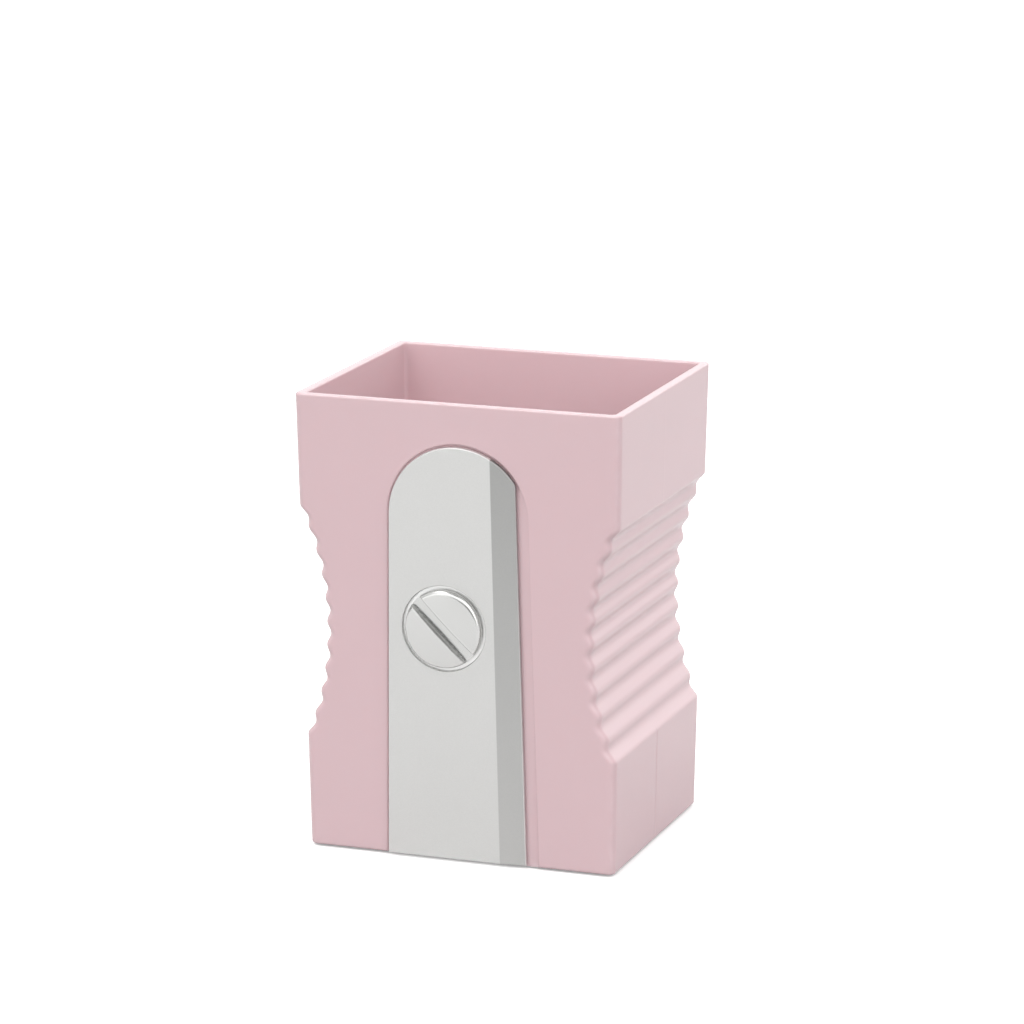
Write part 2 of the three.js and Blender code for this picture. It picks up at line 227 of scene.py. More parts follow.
def bake_modifiers(target: Object) -> None:
    """Turns an object's evaluated mesh into its plain mesh and removes its modifiers."""
    bpy.context.view_layer.update()
    graph = bpy.context.evaluated_depsgraph_get()
    fresh = bpy.data.meshes.new_from_object(target.evaluated_get(graph))
    old = target.data
    target.modifiers.clear()
    target.data = fresh
    fresh.name = target.name
    bpy.data.meshes.remove(old)


def carve(target: Object, tool: Object, cut: Cut) -> None:
    """Cuts a solid with another one, or joins it on, and removes the tool."""
    step = target.modifiers.new("cut", "BOOLEAN")
    step.operation = cut.value
    step.solver = "EXACT"
    step.object = tool
    bake_modifiers(target)
    bpy.data.objects.remove(tool)


def finish_surface(target: Object, material: Material, marks: Marks) -> None:
    """Smooths a piece, writes its attributes and gives it its material.

    Args:
        target: The piece.
        material: What it is made of.
        marks: By attribute name, what gives its value for a point in millimetres.
    """
    mesh = target.data
    mesh.polygons.foreach_set("use_smooth", [True] * len(mesh.polygons))
    mesh.set_sharp_from_angle(angle=SMOOTH_ANGLE)
    step = target.modifiers.new("even_normals", "WEIGHTED_NORMAL")
    step.keep_sharp = True
    bake_modifiers(target)
    mesh = target.data
    lift = Vector((0, 0, FOOT_LIFT))
    for name, value_at in marks.items():
        attribute = mesh.attributes.new(name, "FLOAT", "POINT")
        attribute.data.foreach_set("value", [value_at(v.co / MM - lift) for v in mesh.vertices])
    mesh.materials.clear()
    mesh.materials.append(material)


class Part:
    """A piece that is shaped first and finished then."""

    def shape(self, material: Material) -> Object:
        """Makes the piece's solid; the material is for trees that set it."""
        raise NotImplementedError

    def wear_and_highlight_at(self, p: Vector) -> float:
        """Gives the edge mask at a point in millimetres: where wear and, on some pieces, a painted
        highlight go.
        """
        raise NotImplementedError

    def marks(self) -> Marks:
        """Gives what the piece's attributes are at a point."""
        return {EDGE_ATTRIBUTE: self.wear_and_highlight_at}

    def build(self, material: Material) -> Object:
        """Builds the piece.

        Args:
            material: What it is made of.

        Returns:
            The finished piece.
        """
        piece = self.shape(material)
        finish_surface(piece, material, self.marks())
        return piece


# ------------------------------------------------------------------ node helpers


@dataclass(frozen=True)
class Socket:
    """A named socket of a node group."""

    name: str
    value: float | None = None
    kind: str = "NodeSocketFloat"


GEOMETRY = Socket("Geometry", kind="NodeSocketGeometry")
MATERIAL = Socket("Material", kind="NodeSocketMaterial")
VECTOR = Socket("Vector", kind="NodeSocketVector")


class Wiring:
    """Adds nodes to a tree and links them."""

    def __init__(self, tree: Tree) -> None:
        """Takes the tree that the nodes go in."""
        self.tree = tree

    def feed(self, target: Plug, value: object) -> None:
        """Links a socket to an input, or sets the input to a value."""
        if isinstance(value, Plug):
            self.tree.links.new(value, target)
        else:
            target.default_value = value

    def add(self, kind: str, values: dict | None = None, **settings: object) -> bpy.types.Node:
        """Adds a node.

        Args:
            kind: Blender's name of the node.
            values: What each input takes, by name or number: another socket or a value.
            **settings: Properties of the node itself.

        Returns:
            The node.
        """
        node = self.tree.nodes.new(kind)
        for key, value in settings.items():
            setattr(node, key, value)
        for key, value in (values or {}).items():
            self.feed(node.inputs[key], value)
        return node

    def math(self, operation: str, *values: object) -> Plug:
        """Adds a sum on one to three numbers or sockets and gives its result."""
        return self.add("ShaderNodeMath", dict(enumerate(values)), operation=operation).outputs[0]

    def mix(self, share: object, first: object, second: object, blend: str = "MIX") -> Plug:
        """Mixes two colours by a share from 0 to 1 and gives the result."""
        colours = {0: share, 6: first, 7: second}
        return self.add("ShaderNodeMix", colours, data_type="RGBA", blend_type=blend).outputs[2]

    def attribute(self, name: str) -> Plug:
        """Gives the value of a mesh attribute."""
        return self.add("ShaderNodeAttribute", attribute_name=name).outputs["Fac"]


def open_group(
    name: str, tree_type: str, inputs: Sequence[Socket], outputs: Sequence[Socket]
) -> tuple[Wiring, Sequence[Plug], Sequence[Plug]]:
    """Starts a node group with its sockets and its two end nodes.

    Args:
        name: Name of the group.
        tree_type: Blender's name of the kind of tree.
        inputs: What the group takes.
        outputs: What the group gives.

    Returns:
        The group's wiring, the sockets it is given and the sockets it has to feed.
    """
    group = bpy.data.node_groups.new(name, tree_type)
    for direction, sockets in (("OUTPUT", outputs), ("INPUT", inputs)):
        for s in sockets:
            made = group.interface.new_socket(name=s.name, in_out=direction, socket_type=s.kind)
            if s.value is not None:
                made.default_value = s.value
    w = Wiring(group)
    return w, w.add("NodeGroupInput").outputs, w.add("NodeGroupOutput").inputs


def open_tree(
    name: str, inputs: Sequence[Socket]
) -> tuple[Wiring, Sequence[Plug], Callable[[Plug], None]]:
    """Starts a Geometry Nodes tree that takes a mesh and a material.

    Args:
        name: Name of the tree.
        inputs: What the tree takes besides.

    Returns:
        The tree's wiring, the sockets it is given and what ends it with a given geometry.
    """
    taken = [GEOMETRY, *inputs, MATERIAL]
    w, given, wanted = open_group(name, "GeometryNodeTree", taken, [GEOMETRY])

    def close(geometry: Plug) -> None:
        """Makes the geometry real, gives it its material and puts it out."""
        real = w.add("GeometryNodeRealizeInstances", {"Geometry": geometry}).outputs[0]
        worn = {"Geometry": real, "Material": given["Material"]}
        w.feed(wanted[0], w.add("GeometryNodeSetMaterial", worn).outputs[0])

    return w, given, close


def run_tree(target: Object, tree: Tree, values: dict[str, object]) -> None:
    """Runs a Geometry Nodes tree on an object and keeps the result as a plain mesh.

    Args:
        target: The object.
        tree: The tree.
        values: The tree's inputs by name.
    """
    step = target.modifiers.new("tree", "NODES")
    step.node_group = tree
    for item in tree.interface.items_tree:
        if item.item_type == "SOCKET" and item.in_out == "INPUT" and item.name in values:
            step[item.identifier] = values[item.name]
    bake_modifiers(target)


def make_fine_grain() -> Tree:
    """Makes the group for the fine unevenness of a moulded or coated surface.

    Returns:
        A group that puts out a height, a slow tint and a fine fleck, each from 0 to 1.
    """
    inputs = [VECTOR, Socket("Grain Scale", 2500.0), Socket("Tint Scale", 60.0)]
    outputs = [Socket("Height"), Socket("Tint"), Socket("Fleck")]
    w, given, wanted = open_group("fine_grain", "ShaderNodeTree", inputs, outputs)
    place, scale = given["Vector"], given["Grain Scale"]
    grain = {"Vector": place, "Scale": scale, "Detail": 3.0, "Roughness": 0.6}
    tint = {"Vector": place, "Scale": given["Tint Scale"], "Detail": 2.0}
    flecks = {"Vector": place, "Scale": w.math("MULTIPLY", scale, 1.6)}
    fleck = w.add("ShaderNodeTexVoronoi", flecks).outputs["Color"]
    w.feed(wanted["Height"], w.add("ShaderNodeTexNoise", grain).outputs[0])
    w.feed(wanted["Tint"], w.add("ShaderNodeTexNoise", tint).outputs[0])
    w.feed(wanted["Fleck"], w.add("ShaderNodeSeparateColor", {0: fleck}).outputs[0])
    return w.tree


def make_edge_wear_and_highlight_group() -> Tree:
    """Makes the group that turns the edge attribute into an uneven mask of wear and painted
    highlight.

    Returns:
        A group that puts out a mask, 1 where an edge takes its second colour for wear and painted
        highlight.
    """
    inputs = [VECTOR, Socket("Edge", 0.0), Socket("Patch Scale", 350.0), Socket("Reach", 0.5)]
    w, given, wanted = open_group("edge_wear_and_highlight", "ShaderNodeTree", inputs, [Socket("Mask")])
    noise = {"Vector": given["Vector"], "Scale": given["Patch Scale"], "Detail": 4.0}
    patches = w.add("ShaderNodeTexNoise", noise).outputs[0]
    lowered = w.math("SUBTRACT", patches, given["Reach"])
    strength = w.math("MULTIPLY_ADD", lowered, 3.0, given["Edge"])
    shown = w.add("ShaderNodeClamp", {"Value": strength}).outputs[0]
    w.feed(wanted["Mask"], w.math("MULTIPLY", shown, given["Edge"]))
    return w.tree


# ------------------------------------------------------------------ finishes


@dataclass(frozen=True)
class Finish:
    """A surface of one colour with fine grain, and edges that take a second colour for wear and, on
    some finishes, a painted highlight.
    """

    name: str
    colour: Colour
    # Colour of the edges: wear, and on the pink shell and the silver plate and screw a painted
    # highlight.
    wear_and_highlight_colour: Colour
    roughness: tuple[float, float]
    metallic: float = 0.0
    grain_scale: float = 2500.0
    grain_depth: float = 0.05  # strength of the bump
    grain_height: float = 0.00003  # metres
    tint_scale: float = 60.0
    tint_share: float = 0.06  # how much lighter and darker the colour wanders
    fleck_share: float = 0.0  # how much the fleck changes the colour
    fleck_light: float = 1.45  # how much lighter a full fleck is
    wear_and_highlight_share: float = 0.5
    wear_and_highlight_reach: float = 0.5
    painted_shade: float = 1.0  # how bright the colour is where shade is painted
    subsurface: float = 0.0

    def lit(self, factor: float) -> tuple[float, ...]:
        """Gives the colour made lighter or darker by a factor, with full cover."""
        return (*(min(1.0, c * factor) for c in self.colour), 1.0)

    def material(self, grain: Tree, edge_group: Tree) -> Material:
        """Builds the material.

        Args:
            grain: The shared group for fine grain.
            edge_group: The shared group for the edge mask of wear and painted highlight.

        Returns:
            The material.
        """
        made = bpy.data.materials.new(self.name)
        made.use_nodes = True
        made.diffuse_color = (*self.colour, 1.0)
        made.node_tree.nodes.clear()
        w = Wiring(made.node_tree)
        place = w.add("ShaderNodeTexCoord").outputs["Object"]
        scales = {"Vector": place, "Grain Scale": self.grain_scale, "Tint Scale": self.tint_scale}
        fine = w.add("ShaderNodeGroup", scales, node_tree=grain).outputs
        edge = {"Vector": place, "Reach": self.wear_and_highlight_reach, "Edge": w.attribute(EDGE_ATTRIBUTE)}
        mask = w.add("ShaderNodeGroup", edge, node_tree=edge_group).outputs["Mask"]
        slow = w.mix(fine["Tint"], self.lit(1 - self.tint_share), self.lit(1 + self.tint_share))
        fleck = w.math("MULTIPLY", fine["Fleck"], self.fleck_share)
        flecked = w.mix(fleck, slow, self.lit(self.fleck_light))
        # Edges take the second colour: wear, and on some finishes a painted highlight.
        colour = w.mix(w.math("MULTIPLY", mask, self.wear_and_highlight_share), flecked, (*self.wear_and_highlight_colour, 1.0))
        # Painted shade: where the painted-shade attribute is 1, the colour is multiplied by this
        # finish's factor.
        if self.painted_shade < 1.0:
            dark = (*[self.painted_shade] * 3, 1.0)
            colour = w.mix(w.attribute(PAINTED_SHADE_ATTRIBUTE), colour, dark, "MULTIPLY")
        low, high = self.roughness
        bumps = {"Strength": self.grain_depth, "Distance": self.grain_height}
        bumps["Height"] = fine["Height"]
        looks = {
            "Base Color": colour,
            "Roughness": w.math("MULTIPLY_ADD", fine["Height"], high - low, low),
            "Metallic": self.metallic,
            "Subsurface Weight": self.subsurface,
            "Subsurface Radius": (1.0, 0.5, 0.45),
            "Subsurface Scale": 0.002,
            "Normal": w.add("ShaderNodeBump", bumps).outputs[0],
        }
        shader = w.add("ShaderNodeBsdfPrincipled", looks).outputs[0]
        w.add("ShaderNodeOutputMaterial", {"Surface": shader})
        return made


# The pink's lighter edge colour is wear and a painted highlight on the shell's rim, corners and
# foot.
PINK_PLASTIC = Finish(
    "pale_pink_plastic", (0.713, 0.518, 0.545), (0.85, 0.70, 0.725), (0.20, 0.28),
    grain_scale=1500.0, grain_depth=0.1, tint_share=0.012, subsurface=0.08,
)
BASE_PLASTIC = Finish(
    "base_pink_plastic", (0.73, 0.50, 0.535), (0.79, 0.59, 0.62), (0.36, 0.46),
    grain_scale=1800.0, grain_depth=0.25, tint_share=0.015,
)
# Its near-white edge colour is a painted highlight along the plate's edges, and its 0.6 factor
# darkens the shade painted on the bevel.
SATIN_SILVER = Finish(
    "satin_silver_coating", (0.585, 0.585, 0.575), (0.93, 0.93, 0.92), (0.40, 0.52), metallic=0.9,
    grain_scale=4200.0, grain_depth=0.3, grain_height=0.00002, tint_scale=90.0, tint_share=0.012,
    fleck_share=0.09, wear_and_highlight_share=0.9, wear_and_highlight_reach=0.3, painted_shade=0.6,
)
# Its light edge colour is a painted highlight on the head's rim and slot edges, and its 0.6 factor
# darkens the shade painted in the slot.
BRIGHT_SILVER = Finish(
    "bright_silver_coating", (0.585, 0.585, 0.575), (0.86, 0.86, 0.85), (0.19, 0.26), metallic=0.95,
    grain_scale=4200.0, grain_depth=0.2, grain_height=0.00002, tint_scale=120.0, tint_share=0.01,
    fleck_share=0.04, wear_and_highlight_share=0.3, painted_shade=0.6,
)
SPRING_STEEL = Finish(
    "spring_steel", (0.36, 0.365, 0.375), (0.55, 0.55, 0.56), (0.28, 0.42), metallic=1.0,
    grain_scale=2600.0, grain_depth=0.3, tint_scale=260.0, tint_share=0.12, wear_and_highlight_share=0.8,
)
FOOT_RUBBER = Finish(
    "off_white_rubber", (0.74, 0.72, 0.70), (0.62, 0.60, 0.58), (0.66, 0.82),
    grain_scale=2200.0, grain_depth=0.6, grain_height=0.00006, tint_scale=300.0, tint_share=0.05,
)


# ------------------------------------------------------------------ the shell's form


@dataclass
class ShellForm:
    """The shell's tapered block, its waist, its leaning front face and what they share."""

    height: float = 105.0
    top_half_width: float = 38.3
    top_half_depth: float = 32.6
    bottom_half_width: float = 36.4
    bottom_half_depth: float = 30.15
    wall: float = 2.1
    waist_height: float = 52.7
    waist_inset: float = 5.6
    waist_radius: float = 65.5
    rib_pitch: float = 5.35
    rib_depth: float = 0.9
    thin_wall: float = 1.5
    inner_softness: float = 0.6
    rebate_wall: float = 1.1
    recess_depth: float = 0.8
    plate_proud: float = 0.85  # how far the plate's flat stands out of the front face
    screw_x: float = -2.95
    screw_height: float = 53.9
    hole_radius: float = 2.9
    clip_front: float = 2.4  # behind the front face

    def half_width(self, z: float) -> float:
        """Gives half the width of the block at a height, without its waist."""
        growth = self.top_half_width - self.bottom_half_width
        return self.bottom_half_width + growth * z / self.height

    def half_depth(self, z: float) -> float:
        """Gives half the depth of the block at a height."""
        growth = self.top_half_depth - self.bottom_half_depth
        return self.bottom_half_depth + growth * z / self.height

    def crest_inset(self, z: float) -> float:
        """Gives how far the arc through the rib crests lies inside the flat side."""
        drop = self.waist_radius**2 - (z - self.waist_height) ** 2
        return self.waist_inset - self.waist_radius + math.sqrt(max(drop, 0.0))

    def inner_inset(self, z: float) -> float:
        """Gives how far the smooth inside lies inside the flat side."""
        bulge = self.crest_inset(z) + self.rib_depth + self.thin_wall
        return (bulge + self.wall + math.hypot(bulge - self.wall, self.inner_softness)) / 2

    @property
    def face(self) -> Matrix:
        """Frame of the front face: x right, y into the pot, z up the face."""
        lean = math.atan((self.top_half_depth - self.bottom_half_depth) / self.height)
        return Matrix.Translation((0, -self.bottom_half_depth, 0)) @ Matrix.Rotation(lean, 4, "X")

    def screw_frame(self, turn: float = 0.0) -> Matrix:
        """Gives the screw's frame, with z out of the front face, turned by some degrees."""
        place = Matrix.Translation((self.screw_x, 0, self.screw_height))
        stand = Matrix.Rotation(QUARTER_TURN, 4, "X")
        return self.face @ place @ stand @ Matrix.Rotation(math.radians(turn), 4, "Z")


def make_grip_tree(form: ShellForm) -> Tree:
    """Makes the tree that presses the waist and its ribs into both sides of the shell.

    Args:
        form: Gives the default sizes.

    Returns:
        A Geometry Nodes tree with named inputs, in metres.
    """
    sizes = {
        "Rib Pitch": form.rib_pitch,
        "Rib Depth": form.rib_depth,
        "Waist Height": form.waist_height + FOOT_LIFT,
        "Waist Inset": form.waist_inset,
        "Waist Radius": form.waist_radius,
        "Edge Softness": 0.12,
    }
    inputs = [Socket(name, size * MM) for name, size in sizes.items()]
    w, given, close = open_tree("rib_grip", inputs)
    place = w.add("GeometryNodeInputPosition").outputs[0]
    split = w.add("ShaderNodeSeparateXYZ", {0: place}).outputs
    away = w.math("SUBTRACT", split["Z"], given["Waist Height"])
    radius = given["Waist Radius"]
    chord = w.math("SUBTRACT", w.math("MULTIPLY", radius, radius), w.math("MULTIPLY", away, away))
    arc = w.math("SUBTRACT", w.math("SQRT", w.math("MAXIMUM", chord, 0.0)), radius)
    crest = w.math("ADD", arc, given["Waist Inset"])
    turn = w.math("MULTIPLY", w.math("DIVIDE", away, given["Rib Pitch"]), 2 * math.pi)
    wave = w.math("MULTIPLY_ADD", w.math("COSINE", turn), -0.5, 0.5)
    deep = w.math("MULTIPLY_ADD", wave, given["Rib Depth"], crest)
    soft = w.math("MULTIPLY", given["Edge Softness"], given["Edge Softness"])
    root = w.math("SQRT", w.math("MULTIPLY_ADD", deep, deep, soft))
    inset = w.math("MULTIPLY", w.math("ADD", deep, root), 0.5)
    outer = w.add("GeometryNodeInputNamedAttribute", {"Name": GRIP_ATTRIBUTE}, data_type="FLOAT")
    weighted = w.math("MULTIPLY", inset, outer.outputs["Attribute"])
    side = w.math("MULTIPLY", w.math("SIGN", split["X"]), -1.0)
    offset = w.add("ShaderNodeCombineXYZ", {"X": w.math("MULTIPLY", weighted, side)}).outputs[0]
    moved = {"Geometry": given["Geometry"], "Offset": offset}
    close(w.add("GeometryNodeSetPosition", moved).outputs[0])
    return w.tree


@dataclass
class ArchOutline:
    """The arched recess in the front face and the outlines that follow it."""

    centre_x: float = 0.3
    centre_height: float = 79.4
    radius: float = 16.5
    left_splay: float = 1.2
    right_splay: float = 1.9
    arc_steps: int = 96

    def points(self, margin: float, foot: float) -> Pairs:
        """Gives the outline taken in by a margin, anticlockwise from its left foot.

        Args:
            margin: How far inside the recess's own outline it lies.
            foot: Height of its straight lower end.

        Returns:
            Pairs of x and height.
        """
        x, height, radius = self.centre_x, self.centre_height, self.radius - margin
        lean = (height - foot) / height
        first = -math.atan(self.right_splay / height)
        last = math.pi + math.atan(self.left_splay / height)
        turns = spread(first, last, self.arc_steps)
        left, right = self.left_splay * lean, self.right_splay * lean
        feet = [(x - radius - left, foot), (x + radius + right, foot)]
        return feet + [(x + radius * math.cos(a), height + radius * math.sin(a)) for a in turns]

    def right_border(self, z: float) -> float:
        """Gives where the recess's right border is at a height."""
        beyond = z - self.centre_height
        if beyond > 0.0:
            return self.centre_x + math.sqrt(max(0.0, self.radius**2 - beyond**2))
        return self.centre_x + self.radius - self.right_splay * beyond / self.centre_height

    def ring(self, margin: float, depth: float) -> Ring:
        """Gives the outline, down past the shell's foot, as a ring at a depth behind the face."""
        return [Vector((x, depth, z)) for x, z in self.points(margin, -PAST)]


# ------------------------------------------------------------------ shell


@dataclass
class BodyShell(Part):
    """The moulded shell: a waisted block with ribbed sides, open at the top."""

    form: ShellForm
    arch: ArchOutline
    base: "BasePlate"
    plate: "BladePlate"
    edge_radius: float = 1.7
    inner_edge_radius: float = 1.0
    rim_radius: float = 0.5
    rim_wear_and_highlight: float = 0.2  # how far below the rim its round edges take the most wear and painted highlight
    base_edge_radius: float = 0.6
    corner_steps: int = 8
    round_steps: int = 5
    support: float = 0.35  # width of the narrow strip that holds each round edge
    seam_y: float = -0.7
    seam_half_width: float = 0.5
    seam_depth: float = 0.12
    seam_steps: int = 6
    seam_start: float = 2.5  # how far inside the grip's reach it starts
    seam_fade: float = 2.0  # over which it fades out at the shell's two ends
    upper_seam: float = 0.12  # how clear it is above the waist, against 1 below
    rebate_height: float = 3.1
    rebate_chamfer: float = 0.15
    recess_round: float = 0.45
    channel_gap: float = 0.35
    channel_rise: float = 0.85  # how much of the channel's depth is gone at its border
    channel_foot: float = 0.5  # how much of that rise is gone at the channel's foot
    channel_lead: float = 0.8  # width below which a narrow channel keeps its depth
    pocket_chamfer: float = 0.4
    corner_wear_and_highlight: float = 0.6
    corner_lead: float = 0.25  # over which a corner's wear and painted highlight set in from the face
    outer_levels: tuple[float, float] = (12.0, 94.0)  # plain rings below and above the waist
    inner_top: tuple[float, float] = (96.0, 88.0)  # plain rings of the inside above the waist
    inner_waist: tuple[float, float] = (84.0, 21.0)
    inner_steps: int = 32
    inner_foot: float = 16.0
    levels_per_rib: int = 16
    grip_reach: float = 29.0

    def ring(
        self, half_width: float, half_depth: float, radius: float, z: float, seam: float = 0.0
    ) -> Ring:
        """Gives one ring of the shell, a rectangle with round corners.

        Args:
            half_width: Half its size along x.
            half_depth: Half its size along y.
            radius: Radius of its corners.
            z: Its height.
            seam: Depth of the parting line in each side.

        Returns:
            The ring, anticlockwise from above.
        """
        made: Ring = []
        corners = round_corners(half_width, half_depth, radius, z, self.corner_steps)
        for turn, (corner, (side, _)) in enumerate(zip(corners, CORNERS)):
            first, last = QUARTER_TURN * turn, QUARTER_TURN * (turn + 1)
            before = Vector((math.sin(first), -math.cos(first), 0)) * self.support
            after = Vector((-math.sin(last), math.cos(last), 0)) * self.support
            made += [corner[0] + before, *corner, corner[-1] + after]
            if turn % 2:
                for t in spread(-side, side, self.seam_steps):
                    dent = seam * (1 + math.cos(math.pi * t)) / 2
                    y = self.seam_y + self.seam_half_width * t
                    made.append(Vector((side * (half_width - dent), y, z)))
        return made

    def outer_rings(self) -> list[Ring]:
        """Gives the rings of the outside from the bottom edge to the rim, without the waist."""
        form, top = self.form, self.form.height
        foot = quarter(self.base_edge_radius, self.round_steps)
        levels = [(down, inset) for inset, down in reversed(foot)]
        steps = round(2 * self.grip_reach / form.rib_pitch * self.levels_per_rib)
        low, high = form.waist_height - self.grip_reach, form.waist_height + self.grip_reach
        below, above = self.outer_levels
        plain = [self.base_edge_radius + self.support, below, *spread(low, high, steps)]
        plain += [above, top - self.rim_radius - self.support]
        levels += [(z, 0.0) for z in plain]
        rim = quarter(self.rim_radius, self.round_steps)
        levels += [(top - down, inset) for inset, down in rim]
        return [
            self.ring(
                form.half_width(z) - inset,
                form.half_depth(z) - inset,
                self.edge_radius - inset,
                z,
                self.seam_depth * self.seam_strength(z),
            )
            for z, inset in levels
        ]

    def seam_strength(self, z: float) -> float:
        """Gives how clearly the parting line shows at a height: full below, faint above."""
        away = z - self.form.waist_height
        if abs(away) < self.grip_reach - self.seam_start:
            return 0.0
        end = min(1.0, z / self.seam_fade, (self.form.height - z) / self.seam_fade)
        return max(0.0, end) * (self.upper_seam if away > 0 else 1.0)

    def inner_rings(self) -> list[Ring]:
        """Gives the rings of the inside from the rim down to the step above the base."""
        form, top = self.form, self.form.height
        rim = quarter(self.rim_radius, self.round_steps)
        levels = [(top - down, flare) for flare, down in reversed(rim)]
        plain = [top - self.rim_radius - self.support, *self.inner_top]
        plain += spread(*self.inner_waist, self.inner_steps)
        plain += [self.inner_foot, self.rebate_height + self.support, self.rebate_height]
        levels += [(z, 0.0) for z in plain]
        return [
            self.ring(
                form.half_width(z) - form.inner_inset(z) + flare,
                form.half_depth(z) - form.wall + flare,
                self.inner_edge_radius + flare,
                z,
            )
            for z, flare in levels
        ]

    def rebate_rings(self) -> list[Ring]:
        """Gives the rings of the wide step that takes the base plate."""
        form, chamfer = self.form, self.rebate_chamfer
        width = form.bottom_half_width - form.rebate_wall
        depth = form.bottom_half_depth - form.rebate_wall
        levels = ((self.rebate_height, 0.0), (chamfer, 0.0), (0.0, chamfer))
        radius = self.inner_edge_radius
        return [self.ring(width + wide, depth + wide, radius + wide, z) for z, wide in levels]

    def channel_depth(self, x: float, z: float) -> float:
        """Gives how deep the recess is at a point, as a share of its full depth.

        Args:
            x: The point's place across the face.
            z: The point's height up the face.

        Returns:
            1 behind the plate, falling to a small share at the recess's right border.
        """
        start = self.plate.edge_at(z) + self.channel_gap
        width = self.arch.right_border(z) - start
        if width <= 0.0:
            return 1.0
        across = min(1.0, max(0.0, (x - start) / width))
        low = share_left(z, self.arch.centre_height) ** 2
        rise = self.channel_rise * (1.0 - self.channel_foot * low)
        return 1.0 - across * rise * min(1.0, width / self.channel_lead)

    def recess_tool(self) -> Object:
        """Makes the solid that cuts the arched recess and the sloping channel beside the plate."""
        flare = -self.recess_round - LEAD
        levels = [(flare, -PAST), (flare, -0.2 * LEAD)]
        rounds = quarter(self.recess_round, self.round_steps)[:-1]
        levels += [(-inset, down) for inset, down in reversed(rounds)]
        levels.append((0.0, self.form.recess_depth))
        bm = skin([self.arch.ring(margin, depth) for margin, depth in levels])
        start = [Vector((self.plate.edge_at(z) + self.channel_gap, 0, z)) for z in (0.0, 100.0)]
        slice_mesh(bm, start[0], (start[1] - start[0]).normalized().cross(Vector((0, 1, 0))))
        for z in spread(0.0, 90.0, 45):
            slice_mesh(bm, Vector((0, 0, z)), Vector((0, 0, 1)))
        for v in bm.verts:
            if v.co.y > 0.0:
                v.co.y *= self.channel_depth(v.co.x, v.co.z)
        bmesh.ops.recalc_face_normals(bm, faces=bm.faces)
        return to_object("recess_tool", bm, self.form.face)

    def hole_tool(self) -> Object:
        """Makes the solid that cuts the hole for the screw's shank."""
        r = self.form.hole_radius
        solid = lathe([(0, -PAST), (r, -PAST), (r, PAST), (0, PAST)], 64)
        return to_object("hole_tool", solid, self.form.screw_frame())

    def pocket_tools(self) -> list[Object]:
        """Makes the solids that cut a pocket in the wall for each snap hook's barb."""
        base = self.base
        wall = self.form.bottom_half_width - self.form.wall
        half = base.hook_width / 2 + base.pocket_margin
        low, high = base.barb_height - GAP, base.hook_height + base.pocket_margin
        cut = self.pocket_chamfer
        outline = [(-half, low), (half, low), (half, high - cut)]
        outline += [(half - cut, high), (cut - half, high), (-half, high - cut)]
        tools = []
        for side, along in base.hook_places():
            rings = [
                [Vector((side * x, along + y, z)) for y, z in outline]
                for x in (wall - base.pocket_depth, wall + base.pocket_depth)
            ]
            tools.append(to_object("pocket_tool", skin(rings)))
        return tools

    def wear_and_highlight_at(self, p: Vector) -> float:
        """Gives the edge mask at a point, for wear and a painted highlight: its upright corners,
        rim and foot.
        """
        form = self.form
        dx = form.half_width(p.z) - abs(p.x)
        dy = form.half_depth(p.z) - abs(p.y)
        corner = 0.0
        if dy < self.edge_radius and dx < form.waist_inset + form.rib_depth + self.edge_radius:
            fade = min(1.0, dy / self.corner_lead)
            corner = self.corner_wear_and_highlight * share_left(dy, self.edge_radius) * fade
        rim = share_left(abs(form.height - p.z - self.rim_wear_and_highlight), self.rim_wear_and_highlight)
        at_edge = min(dx, dy) < self.base_edge_radius
        return max(corner, rim, share_left(p.z, self.base_edge_radius) if at_edge else 0.0)

    def shape(self, material: Material) -> Object:
        """Makes the shell with its recess, hole and pockets."""
        outer = self.outer_rings()
        bm = skin([*outer, *self.inner_rings(), *self.rebate_rings()], looped=True)
        outside = len(outer) * len(outer[0])
        piece = to_object("pot_shell", bm)
        grip = piece.data.attributes.new(GRIP_ATTRIBUTE, "FLOAT", "POINT")
        count = len(piece.data.vertices)
        grip.data.foreach_set("value", [float(i < outside) for i in range(count)])
        sizes = {"Rib Pitch": self.form.rib_pitch * MM, "Material": material}
        run_tree(piece, make_grip_tree(self.form), sizes)
        piece.data.attributes.remove(piece.data.attributes[GRIP_ATTRIBUTE])
        for tool in (self.recess_tool(), self.hole_tool(), *self.pocket_tools()):
            carve(piece, tool, Cut.REMOVE)
        return piece


# ------------------------------------------------------------------ base plate and feet


